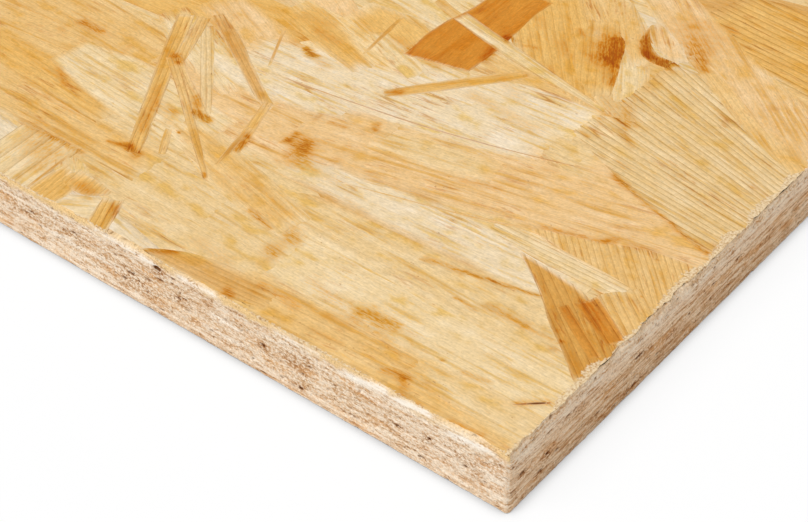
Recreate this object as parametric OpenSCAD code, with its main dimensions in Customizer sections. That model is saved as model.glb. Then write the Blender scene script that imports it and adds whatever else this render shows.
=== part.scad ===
// One full sheet of oriented strand board, lying flat.
// The origin is at the centre of the underside, +X runs along the sheet's length, which is
// the way the face strands lie, and +Z points up through the thickness.

/* [Sheet] */
// Length of the sheet, along the face strands
sheet_length = 2440; // [600:10:3000]
// Width of the sheet, across the face strands
sheet_width = 1220; // [300:10:1500]
// Thickness of the sheet, face to face
sheet_thickness = 18; // [6:1:30]

/* [Sawn edges] */
// How far handling has worn back the arrises along the two faces
face_arris = 0.5; // [0.1:0.1:2]
// How far the four upright corners are worn back
corner_arris = 1.2; // [0.1:0.1:4]

/* [Hidden] */

// A rectangle on the origin whose four corners are cut back by the arris at 45 degrees
module worn_rectangle(width, height, arris) {
    reach_x = width / 2;
    reach_y = height / 2;
    polygon([
        for (side = [[1, 1], [-1, 1], [-1, -1], [1, -1]])
            for (step = side.x * side.y > 0 ? [[0, 1], [1, 0]] : [[1, 0], [0, 1]])
                [side.x * (reach_x - arris * step.x), side.y * (reach_y - arris * step.y)]
    ]);
}

// The sheet seen from above, carried through the thickness
module plan_block() {
    linear_extrude(sheet_thickness, center = true)
        worn_rectangle(sheet_length, sheet_width, corner_arris);
}

// The section across the sheet, carried along the length
module cross_section_block() {
    rotate([90, 0, 90])
        linear_extrude(sheet_length, center = true)
            worn_rectangle(sheet_width, sheet_thickness, face_arris);
}

// The section along the sheet, carried across the width
module long_section_block() {
    rotate([90, 0, 0])
        linear_extrude(sheet_width, center = true)
            worn_rectangle(sheet_length, sheet_thickness, face_arris);
}

// The pressed board: what the three views have in common, standing on its underside
module osb_sheet() {
    color("burlywood")
        translate([0, 0, sheet_thickness / 2])
            intersection() {
                plan_block();
                cross_section_block();
                long_section_block();
            }
}

osb_sheet();
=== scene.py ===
import math

import bpy
import numpy as np
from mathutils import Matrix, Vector


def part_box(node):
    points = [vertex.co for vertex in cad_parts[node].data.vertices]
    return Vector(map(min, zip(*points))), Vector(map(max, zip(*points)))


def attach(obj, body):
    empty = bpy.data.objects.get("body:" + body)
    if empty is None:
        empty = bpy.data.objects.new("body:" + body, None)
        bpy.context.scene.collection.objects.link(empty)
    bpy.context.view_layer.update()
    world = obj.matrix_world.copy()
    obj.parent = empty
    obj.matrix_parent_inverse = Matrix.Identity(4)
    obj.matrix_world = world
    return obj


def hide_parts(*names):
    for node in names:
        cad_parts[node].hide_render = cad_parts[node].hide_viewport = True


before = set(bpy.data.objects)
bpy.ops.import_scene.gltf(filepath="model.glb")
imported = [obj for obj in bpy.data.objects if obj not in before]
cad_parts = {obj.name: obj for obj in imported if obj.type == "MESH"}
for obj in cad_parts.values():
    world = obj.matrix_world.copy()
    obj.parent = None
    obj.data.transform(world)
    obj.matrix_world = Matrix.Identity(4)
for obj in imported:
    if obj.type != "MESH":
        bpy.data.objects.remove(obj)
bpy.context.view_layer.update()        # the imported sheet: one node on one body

sheetLow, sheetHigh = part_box("osb_sheet")

# Everything below is worked out in mm in the row frame, and made metres when a mesh is filled.
mm = 0.001
rightSide = sheetHigh.x / mm
leftSide = sheetLow.x / mm
farSide = sheetHigh.y / mm
nearSide = sheetLow.y / mm
faceTop = sheetHigh.z / mm
print("frame: sheet", round(rightSide - leftSide), "x", round(farSide - nearSide), "x", round(faceTop), "mm")


# a is mm back from the near corner along the long edge, b is mm in along the short edge
def fromCorner(a, b):
    return rightSide - a, nearSide + b


scatterTurns = (127.1, 311.7, 74.7)
scatterGain = 43758.5453


# scatter: numbers in 0..1 that stay the same, the part after the point of a large sine of the lattice place
def scatter(i, j, seed):
    wave = np.sin(i * scatterTurns[0] + j * scatterTurns[1] + seed * scatterTurns[2]) * scatterGain
    return wave - np.floor(wave)


# 3t^2 - 2t^3, which leaves 0 and reaches 1 level
def ease(t):
    return t * t * (3 - 2 * t)


# smooth noise in -1..1: the four scattered numbers round a place, blended by the ease each way
def smoothNoise(x, y, seed):
    i = np.floor(x)
    j = np.floor(y)
    s = ease(x - i)
    t = ease(y - j)
    low = scatter(i, j, seed) * (1 - s) + scatter(i + 1, j, seed) * s
    high = scatter(i, j + 1, seed) * (1 - s) + scatter(i + 1, j + 1, seed) * s
    return 2 * (low * (1 - t) + high * t) - 1


# start plus each ripple in turn: amount * noise(x / run, y / rise), each with its own seed
def rippled(start, ripples, x, y):
    for amount, run, rise, seed in ripples:
        start = start + amount * smoothNoise(x / run, y / rise, seed)
    return start


# eased step from 0 below low to 1 above high
def easedStep(value, low, high):
    return ease(np.clip((value - low) / (high - low), 0, 1))


# a profile of corners carried through stations: one quad between neighbours, and a flat cap at each end
def sweptFaces(stations, corners):
    here = np.arange(stations - 1)[:, None] * corners
    j = np.arange(corners)[None]
    k = (j + 1) % corners
    quads = np.stack([here + j, here + corners + j, here + corners + k, here + k], -1).reshape(-1, 4)
    ring = np.arange(corners)
    caps = np.stack([ring, (stations - 1) * corners + ring[::-1]])
    return quads, caps


# a flake: a grid of quads on top, a skirt of quads down from its border, and one flat face below
def flakeFaces(rows, columns):
    grid = np.arange(rows * columns).reshape(rows, columns)
    top = np.stack([grid[:-1, :-1], grid[1:, :-1], grid[1:, 1:], grid[:-1, 1:]], -1).reshape(-1, 4)
    border = np.concatenate([grid[:, 0], grid[-1, 1:], grid[-2::-1, -1], grid[0, -2:0:-1]])
    low = rows * columns + np.arange(len(border))
    skirt = np.stack([border, low, np.roll(low, -1), np.roll(border, -1)], -1)
    return border, [top, skirt, low[None, ::-1]]


# How faces are set out on a piece's map, in shares of its width and height.
mapLook = {
    "shown": 0.96,              # height for the faces seen from above
    "hiddenFrom": 0.97,         # where the strip for the other faces begins
    "hiddenRun": (0.01, 0.02),  # how far that strip spreads with y and with z
    "row": (0.99, 0.98),        # how much of a folded row is filled, along and across
    "capMiddle": (0.995, 0.5),
    "capHalf": (0.004, 0.4),
}


# where each face corner lies on a flat map: tops as seen from above, and the rest in a strip beside them
def flatMap(points, faces, tops):
    low = points.min(0)
    x, y, z = ((points - low) / (points.max(0) - low)).T
    runY, runZ = mapLook["hiddenRun"]
    shown = np.stack([x, mapLook["shown"] * y], -1)
    hidden = np.stack([x, mapLook["hiddenFrom"] + runY * y + runZ * z], -1)
    chosen = [np.where(top[:, None, None], shown[f], hidden[f]) for f, top in zip(faces, tops)]
    return np.concatenate([places.reshape(-1, 2) for places in chosen])


# the same for a swept profile: stations run along a row, folded into so many rows, and corners across it
def foldedMap(stations, corners, rows):
    fillAlong, fillAcross = mapLook["row"]
    way = np.arange(stations - 1)[:, None] * rows / (stations - 1)
    row = np.floor(way)
    u = np.stack([way - row, way - row + rows / (stations - 1)], -1)
    v = row[..., None] + fillAcross * (np.arange(corners)[:, None] + np.arange(2)) / corners
    u = np.broadcast_to(fillAlong * u[..., [0, 1, 1, 0]], (stations - 1, corners, 4))
    quads = np.stack([u, v[..., [0, 0, 1, 1]] / rows], -1).reshape(-1, 2)
    turn = np.linspace(0, 2 * math.pi, corners)
    middleU, middleV = mapLook["capMiddle"]
    halfU, halfV = mapLook["capHalf"]
    cap = np.stack([middleU + halfU * np.cos(turn), middleV + halfV * np.sin(turn)], -1)
    return np.concatenate([quads, cap, cap[::-1]])


attributeKinds = {1: ("FLOAT", "value"), 3: ("FLOAT_VECTOR", "vector"), 4: ("FLOAT_COLOR", "color")}


# points in mm and arrays of faces become one mesh at the origin, with its map, riding on the sheet's body
def makePiece(name, points, faces, fields, spread, finish, sharpAngle=40):
    corners = np.concatenate([f.ravel() for f in faces])
    sizes = np.concatenate([np.full(len(f), f.shape[1]) for f in faces])
    starts = np.concatenate([[0], np.cumsum(sizes)[:-1]])
    mesh = bpy.data.meshes.new(name)
    mesh.vertices.add(len(points))
    mesh.vertices.foreach_set("co", (points * mm).astype(np.float32).ravel())
    mesh.loops.add(len(corners))
    mesh.loops.foreach_set("vertex_index", corners.astype(np.int32))
    mesh.polygons.add(len(sizes))
    mesh.polygons.foreach_set("loop_start", starts.astype(np.int32))
    mesh.update(calc_edges=True)
    for label, values in fields.items():
        kind, member = attributeKinds[1 if values.ndim == 1 else values.shape[1]]
        attribute = mesh.attributes.new(label, kind, "POINT")
        attribute.data.foreach_set(member, values.astype(np.float32).ravel())
    layer = mesh.uv_layers.new(name="OFBake", do_init=False)
    layer.uv.foreach_set("vector", spread.astype(np.float32).ravel())
    mesh.validate()
    mesh.shade_smooth()
    mesh.set_sharp_from_angle(angle=math.radians(sharpAngle))
    mesh.materials.append(finish)
    piece = bpy.data.objects.new(name, mesh)
    bpy.context.scene.collection.objects.link(piece)
    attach(piece, "root")
    print(name, "has", int((sizes - 2).sum()), "triangles")
    return piece


# a display colour in 0..255 as the linear light that shaders work in
def linear(rgb):
    c = np.asarray(rgb, float) / 255
    return np.where(c <= 0.04045, c / 12.92, ((c + 0.055) / 1.055) ** 2.4)


# the same with an alpha of 1, as a colour socket takes it
def linearColour(rgb):
    return tuple(float(c) for c in linear(rgb)) + (1.0,)


# Wire wraps a socket, so that sums written in Python add their Math nodes.
class Wire:
    def __init__(self, tree, socket):
        self.tree = tree
        self.socket = socket

    # one Math node on the terms
    def maths(self, operation, *terms):
        node = self.tree.nodes.new("ShaderNodeMath")
        node.operation = operation
        for socket, term in zip(node.inputs, terms):
            join(self.tree, socket, term)
        return Wire(self.tree, node.outputs[0])

    def __add__(self, other):
        return self.maths("ADD", self, other)

    def __radd__(self, other):
        return self.maths("ADD", other, self)

    def __sub__(self, other):
        return self.maths("SUBTRACT", self, other)

    def __rsub__(self, other):
        return self.maths("SUBTRACT", other, self)

    def __mul__(self, other):
        return self.maths("MULTIPLY", self, other)

    def __rmul__(self, other):
        return self.maths("MULTIPLY", other, self)

    def __truediv__(self, other):
        return self.maths("DIVIDE", self, other)

    def __pow__(self, other):
        return self.maths("POWER", self, other)

    def fraction(self):
        return self.maths("FRACT", self)

    def size(self):
        return self.maths("ABSOLUTE", self)


# a wire is linked to the socket, and a plain value becomes the socket's own
def join(tree, socket, value):
    if isinstance(value, Wire):
        tree.links.new(value.socket, socket)
    else:
        socket.default_value = value


mixFactor, mixFirst, mixSecond, mixResult = 0, 6, 7, 2     # a Mix node's own sockets where it mixes colours


# Finish holds the node tree of a material or a world, and add() makes any node: settings, then sockets.
class Finish:
    def __init__(self, owner):
        owner.use_nodes = True
        self.owner = owner
        self.tree = owner.node_tree
        self.tree.nodes.clear()

    def add(self, kind, settings=None, sockets=None, output=0):
        node = self.tree.nodes.new(kind)
        for setting, value in (settings or {}).items():
            setattr(node, setting, value)
        for socket, value in (sockets or {}).items():
            join(self.tree, node.inputs[socket], value)
        return Wire(self.tree, node.outputs[output]) if node.outputs else None

    # one field of the mesh, by its name
    def attribute(self, name, output="Fac"):
        return self.add("ShaderNodeAttribute", {"attribute_name": name}, {}, output)

    # the three parts of a vector
    def parts(self, vector):
        split = self.add("ShaderNodeSeparateXYZ", {}, {"Vector": vector})
        return [Wire(self.tree, s) for s in split.socket.node.outputs]

    # noise from a row of values: a scale each way, the share of the seed and its shift, and the detail
    def noise(self, row, x, y, seed):
        scaleX, scaleY, share, shift, detail = row
        depth = seed * share + shift if share else shift
        place = self.add("ShaderNodeCombineXYZ", {}, {"X": x * scaleX, "Y": y * scaleY, "Z": depth})
        return self.add("ShaderNodeTexNoise", {}, {"Vector": place, "Scale": 1.0, "Detail": detail}, "Fac")

    # eased 0 to 1 between two levels of a value
    def between(self, value, low, high):
        sockets = {"Value": value, "From Min": low, "From Max": high}
        return self.add("ShaderNodeMapRange", {"interpolation_type": "SMOOTHSTEP"}, sockets)

    # one Mix node on two colours
    def blend(self, kind, first, amount, second):
        settings = {"data_type": "RGBA", "blend_type": kind}
        sockets = {mixFactor: amount, mixFirst: first, mixSecond: second}
        return self.add("ShaderNodeMix", settings, sockets, mixResult)

    # colour times a filter colour, as far as amount says
    def tinted(self, colour, amount, filterColour):
        return self.blend("MULTIPLY", colour, amount, filterColour)

    # from the first colour to the second, as far as amount says
    def mixed(self, first, amount, second):
        return self.blend("MIX", first, amount, second)

    # colour times a number
    def scaled(self, colour, amount):
        return self.add("ShaderNodeVectorMath", {"operation": "SCALE"}, {"Vector": colour, "Scale": amount})

    # the shader itself: constants on its own sockets, and a bump of so many mm
    def surface(self, colour, roughness, height, look):
        depths = {"Height": height, "Distance": look["bumpDepth"] * mm, "Strength": look["bumpStrength"]}
        bump = self.add("ShaderNodeBump", {}, depths)
        sockets = {"Base Color": colour, "Roughness": roughness, "Normal": bump,
                   "Specular IOR Level": look["specular"]}
        shader = self.add("ShaderNodeBsdfPrincipled", {}, sockets)
        self.add("ShaderNodeOutputMaterial", {}, {"Surface": shader})
        return self.owner


# The wood's tones, as they look under plain light.
tones = {
    "cream": (235, 212, 174),
    "straw": (235, 207, 158),
    "wheat": (231, 199, 145),
    "peach": (233, 194, 138),
    "honey": (230, 188, 122),
    "olive": (228, 180, 103),
    "tan": (218, 168, 98),
    "ochre": (212, 156, 77),
    "amber": (209, 137, 48),
    "umber": (174, 101, 36),
    # painted shade inside the crack at the near corner
    "crackShade": (108, 56, 14),
}

strandLook = {
    "ringFilter": (212, 192, 154),    # late wood against early wood
    "tanFilter": (238, 216, 154),     # streaks of heartwood
    "paleGain": (1.06, 1.12, 1.28),   # clouds of sapwood, as linear light
    "yellowFilter": (247, 232, 183),  # clouds of warmer wood
    "amberFilter": (231, 190, 92),    # resin stain
    "umberFilter": (210, 168, 130),   # where the stain is deep
    "hairFilter": (206, 152, 70),     # dark hairlines along the fibres
    "speckFilter": (180, 124, 56),    # short pores
    "rimShadeFilter": (190, 146, 72),      # painted shade: the dark line in the gap round a flake
    "worn": (222, 192, 150),          # torn ends beside a sawn side
    "fluff": (243, 222, 186),         # loose fibre among them
    "fibre": 0.34,                    # share of light that the fibres take
    "nap": 0.55,                      # share that the short torn fibres take
    "grit": 0.30,                     # share that the sanded surface takes
    "gain": 1.05,                     # lifts the tint to make up for what the filters take
    "wander": 2.6,                    # mm that the fibres stray to the side
    "specular": 0.05,
    "roughness": 0.62,
    "bumpDepth": 0.25,
    "bumpStrength": 0.35,
    "noise": {                        # scales along and across, share and shift of the seed, and detail
        "wander": (0.018, 0.11, 3.1, 0.0, 1.0),      # along the fibres, per mm
        "fibre": (0.24, 2.2, 7.3, 0.0, 3.0),
        "streak": (0.034, 0.55, 5.7, 0.0, 4.0),
        "paler": (0.045, 0.22, 6.1, 40.0, 2.0),
        "speck": (0.9, 1.4, 9.1, 0.0, 2.0),
        "nap": (0.7, 2.3, 8.7, 3.0, 4.0),
        "hair": (0.03, 0.36, 12.7, 9.0, 2.5),
        "blotch": (75.0, 110.0, 4.3, 0.0, 3.0),      # over the face, per m
        "mottle": (210.0, 250.0, 2.9, 7.0, 3.0),
        "grit": (1500.0, 1500.0, 0.0, 2.0, 3.0),
        "torn": (1100.0, 900.0, 0.0, 5.0, 2.0),
        "flecks": (1700.0, 1500.0, 0.0, 9.0, 3.0),
    },
    "levels": {                       # where each mask leaves 0 and where it reaches 1
        "pale": (0.58, 0.74),
        "yellow": (0.58, 0.43),
        "warm": (0.51, 0.74),
        "hairline": (0.045, 0.01),
        "hairPatch": (0.51, 0.63),
        "natural": (0.76, 0.96),
        "soaked": (0.37, 0.63),
        "amber": (0.0, 1.0),
        "umber": (0.6, 1.8),
        "frayed": (0.42, 0.66),
        "fluff": (0.46, 0.60),
        "fluffDark": (0.44, 0.30),
        "pore": (0.70, 0.80),
        "broken": (0.42, 0.60),
    },
}


# Wood along each flake: u runs with the fibres, v across them. Rings are the sharp-edged fraction of v over
# the ring gap, fibres and streaks are noise drawn out along u, and stains and specks filter the flake's own
# tint; the rim paints the shade in the gap round its border.
def strandFinish(look):
    f = Finish(bpy.data.materials.new("strand_face"))
    u, v, seed = f.parts(f.attribute("grain", "Vector"))
    gap, ringStrength, rimShadeStrength = f.parts(f.attribute("figure", "Vector"))
    tint = f.attribute("tint", "Color")
    stain = f.attribute("stain")
    rim = f.attribute("rim")
    worn = f.attribute("worn")
    x, y = f.parts(f.add("ShaderNodeTexCoord", {}, {}, "Object"))[:2]

    # the look's own noises, masks and colours, by name
    def noise(name, along, across):
        return f.noise(look["noise"][name], along, across, seed)

    def mask(name, value):
        return f.between(value, *look["levels"][name])

    def shade(name):
        return linearColour(look[name])

    v = v + (noise("wander", u, v) - 0.5) * look["wander"]
    fibre, streak, paler, speck, nap, hair = [noise(name, u, v) for name in
                                              ("fibre", "streak", "paler", "speck", "nap", "hair")]
    blotch, mottle, grit, torn, flecks = [noise(name, x, y) for name in
                                          ("blotch", "mottle", "grit", "torn", "flecks")]
    turn = (v / gap + seed * 11.0).fraction()
    late = 0.30 * turn ** 2.0 + 0.70 * turn ** 9.0 * (0.35 + 1.3 * fibre)
    ring = late * ringStrength * (0.4 + 1.2 * blotch)
    uneven = look["fibre"] * (fibre - 0.5) + look["nap"] * (nap - 0.5) + look["grit"] * (grit - 0.5)
    cloud = 0.5 * paler + 0.35 * blotch + 0.35 * mottle
    colour = f.tinted(tint, mask("pale", cloud), look["paleGain"] + (1.0,))
    colour = f.tinted(colour, mask("yellow", cloud), shade("yellowFilter"))
    colour = f.scaled(colour, look["gain"] * (1.0 + uneven))
    colour = f.tinted(colour, ring, shade("ringFilter"))
    warm = mask("warm", streak + 0.5 * (blotch - 0.5) + 0.3 * (nap - 0.5))
    colour = f.tinted(colour, warm * 0.85, shade("tanFilter"))
    hairline = mask("hairline", (hair - 0.5).size()) * mask("hairPatch", 0.6 * blotch + 0.4 * fibre)
    colour = f.tinted(colour, hairline * (0.2 + 0.5 * (seed * 1.7).fraction()), shade("hairFilter"))
    natural = mask("natural", blotch * 0.55 + streak * 0.45 + 0.35 * nap)
    soaked = 0.5 + 0.76 * mask("soaked", 0.55 * nap + 0.45 * fibre)
    deep = stain * soaked + natural * 0.14
    colour = f.tinted(colour, mask("amber", deep), shade("amberFilter"))
    colour = f.tinted(colour, mask("umber", deep), shade("umberFilter"))
    frayed = mask("frayed", worn + 1.3 * (torn - 0.5))
    fluff = f.mixed(shade("worn"), mask("fluff", flecks), shade("fluff"))
    fluff = f.tinted(fluff, mask("fluffDark", flecks) * 0.75, shade("speckFilter"))
    colour = f.mixed(colour, frayed * 0.85, fluff)
    pore = mask("pore", speck + 0.3 * (blotch - 0.5))
    colour = f.tinted(colour, pore * 0.5, shade("speckFilter"))
    # painted shade in the gap round the flake's border, broken up by noise
    broken = mask("broken", 0.5 * mottle + 0.5 * nap)
    colour = f.tinted(colour, rim * rimShadeStrength * broken, shade("rimShadeFilter"))
    roughness = look["roughness"] + 0.16 * (fibre - 0.5) - 0.10 * ring
    height = fibre * 0.6 + nap * 0.3 - ring * 0.4 + grit * 0.2
    return f.surface(colour, roughness, height, look)


faceFinish = strandFinish(strandLook)
print("finish: strand face")

# Stacking: each flake lies one thin step above whatever it covers, kept on a lattice over the face.
stackLook = {
    "cell": 2.0,                # size of the lattice
    "step": 0.012,              # from one level to the next
    "flakeThick": 0.6,
    "blur": 1.6,                # how far round a place the tint under it is taken
}


# The lattice's two fields: the level reached so far, and the tint that shows.
class Stack:
    def __init__(self):
        self.columns = int((rightSide - leftSide) / stackLook["cell"]) + 2
        self.rows = int((farSide - nearSide) / stackLook["cell"]) + 2
        self.level = np.zeros((self.columns, self.rows))
        self.tint = np.ones((self.columns, self.rows, 3)) * linear(tones["wheat"])

    # the cells that places fall in, those beyond the sides in the outermost ones
    def cells(self, x, y):
        i = np.clip((x - leftSide) / stackLook["cell"], 0, self.columns - 1).astype(int)
        j = np.clip((y - nearSide) / stackLook["cell"], 0, self.rows - 1).astype(int)
        return i, j

    # a stiff flake: one above the highest level under it, or nothing where that is over the cap
    def layStiff(self, x, y, tint, cap):
        i, j = self.cells(x, y)
        level = self.level[i, j].max() + 1
        if level > cap:
            return 0
        self.level[i, j] = level
        self.tint[i, j] = tint
        return level

    # a soft flake: at each place one above the highest of the nine cells round it
    def layDraped(self, x, y, tint):
        i, j = self.cells(x, y)
        level = np.zeros_like(x)
        for di in (-1, 0, 1):
            for dj in (-1, 0, 1):
                near = self.level[np.clip(i + di, 0, self.columns - 1), np.clip(j + dj, 0, self.rows - 1)]
                level = np.maximum(level, near + 1)
        np.maximum.at(self.level, (i, j), level)
        self.tint[i, j] = tint
        return level

    # the tint that shows at each place before the next flake: the mean of five cells close by
    def under(self, x, y):
        away = stackLook["blur"]
        around = ((0, 0), (away, 0), (-away, 0), (0, away), (0, -away))
        total = 0
        for dx, dy in around:
            i, j = self.cells(x + dx, y + dy)
            total = total + self.tint[i, j]
        return total / len(around)


# Where the saw broke the arris away: side, middle (mm from the near corner), half length and depth.
arrisChips = [
    ("long", 12, 9, 0.8), ("long", 38, 6, 0.5), ("long", 92, 6, 0.6), ("long", 114, 9, 0.8),
    ("long", 139, 6, 0.5),
    ("short", 44, 4, 0.6), ("short", 58, 7, 0.6), ("short", 70, 5, 0.7),
]
arrisLook = {
    "long": {"base": 0.15, "bite": 0.4, "biteRun": 4.0, "crumb": 0.35, "crumbRun": 1.3},
    "short": {"base": 0.8, "bite": 0.3, "biteRun": 5.0, "crumb": 0.5, "crumbRun": 0.9},
    "calm": 0.2,                # noise below this leaves no bite
    "seeds": (28, 29),
}


# how far the arris stands back at a place along a side: broad bites, fine crumbs, and the chips in the list
def arrisBack(way, side):
    look = arrisLook[side]
    biteSeed, crumbSeed = arrisLook["seeds"]
    bites = np.maximum(0, smoothNoise(way / look["biteRun"], way * 0, biteSeed) - arrisLook["calm"])
    crumbs = 0.5 + 0.5 * smoothNoise(way / look["crumbRun"], way * 0, crumbSeed)
    back = look["base"] + look["bite"] * bites
    back = back + look["crumb"] * crumbs
    for name, middle, half, deep in arrisChips:
        if name == side:
            back = back + deep * np.clip(1 - ((way - middle) / half) ** 2, 0, 1)
    return back


# a place nearer to a side than the limits say is drawn back to just inside them
def sawn(x, y, endLimit, sideLimit):
    return (drawnIn(x, leftSide + endLimit, rightSide - endLimit),
            drawnIn(y, nearSide + sideLimit, farSide - sideLimit))


# How far in from the sides the strands are worn, in mm.
wornLook = {
    "end": (0.9, 4.2),          # on the short sides: worn through at the first, whole at the second
    "endUneven": (0.6, 6, 35),  # how the reach varies along them: amount, run and seed
    "side": (0.2, 1.6),         # on the long sides
    "sideMost": 0.7,
}


# how worn a place is: 1 at a sawn side, easing to 0 a little way in, further on the short sides
def wornAt(x, y):
    look = wornLook
    fromEnd = np.minimum(rightSide - x, x - leftSide)
    fromSide = np.minimum(y - nearSide, farSide - y)
    amount, run, seed = look["endUneven"]
    reach = 1 + amount * smoothNoise(y / run, 0 * y, seed)
    end = easedStep(-fromEnd / reach, -look["end"][1], -look["end"][0])
    side = look["sideMost"] * easedStep(-fromSide, -look["side"][1], -look["side"][0])
    return np.maximum(end, side)


# distance in from the nearest side
def fromSides(x, y):
    return np.minimum(np.minimum(x - leftSide, rightSide - x), np.minimum(y - nearSide, farSide - y))


rimEase = (0.5, 3.0)      # mm from a sawn side over which the painted shade line round a flake comes in


# how much of the painted shade at a flake's rim shows: none at a sawn side, all of it further in
def rimShown(x, y):
    return easedStep(fromSides(x, y), *rimEase)


# beyond a limit the distance d becomes q^2 / (2q - d), which closes on the limit and never crosses it
def drawnIn(value, low, high, q=0.25):
    d = high - value
    value = np.where(d < q, high - q * q / (2 * q - np.minimum(d, q)), value)
    d = value - low
    return np.where(d < q, low + q * q / (2 * q - np.minimum(d, q)), value)


# Strands strewn over a whole face, thick and thin, mostly along the sheet.
strewnLook = {
    "columns": 64,
    "rows": 62,
    "length": (70, 135),
    "width": (7, 34),
    "stickShare": 0.07,
    "stickLength": (25, 60),
    "stickWidth": (2.0, 4.0),
    "straightSpread": 13,       # degrees, for most strands
    "looseSpread": 50,          # degrees, for the rest
    "looseShare": 0.22,
    "inset": 1.6,               # how far inside the sides they stop
    "cap": 6,                   # most levels on the open face
    "cornerCap": 3,             # most levels under the corner's own strands
    "corner": (225, 205),       # how far the corner's own strands reach, in a and b
    "tones": ["cream", "straw", "wheat", "peach", "honey", "olive", "tan", "ochre", "amber"],
    "shares": [0.08, 0.22, 0.24, 0.16, 0.14, 0.08, 0.05, 0.02, 0.01],
    "jitter": (-0.4, 1.4),      # where in its cell a strand's middle falls
    "widthShape": (1.7, 2.1),   # beta curve of the widths
    "skew": 0.9,                # most lean of an end
    "narrow": (0.35, 1.0),      # width of an end against the middle
    "endPower": 3,              # how late an end leans and narrows
    "bow": 1.2,
    "brightSpread": 0.035,
    "ringGap": (1.6, 5.0),
    "ringShape": (1.4, 2.6),    # beta curve of how strongly rings show
    "ringMost": 0.9,
    # strength of the painted shade round a strand's border, least and most
    "rim": (0.15, 0.75),
    "grainTilt": 0.04,
    "border": (0.5, 0.18),      # the painted shade line's width: mm, or this share of a thin strand
    "stations": [0, 0.22, 0.78, 1.0],
    "coverSteps": (60, 15),     # places at which a strand looks for what it covers
    "leastSeen": 0.12,          # a strand with less of it on the sheet is left out
    "grainSeed": (6, 9),        # seed of the scatter, and how far apart it throws the strands' grain
}
stripCorners = 6                # of a strand's profile: four above, two below


# one value for each strand, set out to go with its stations and columns
def perStrand(values):
    return values[:, None, None]


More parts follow.
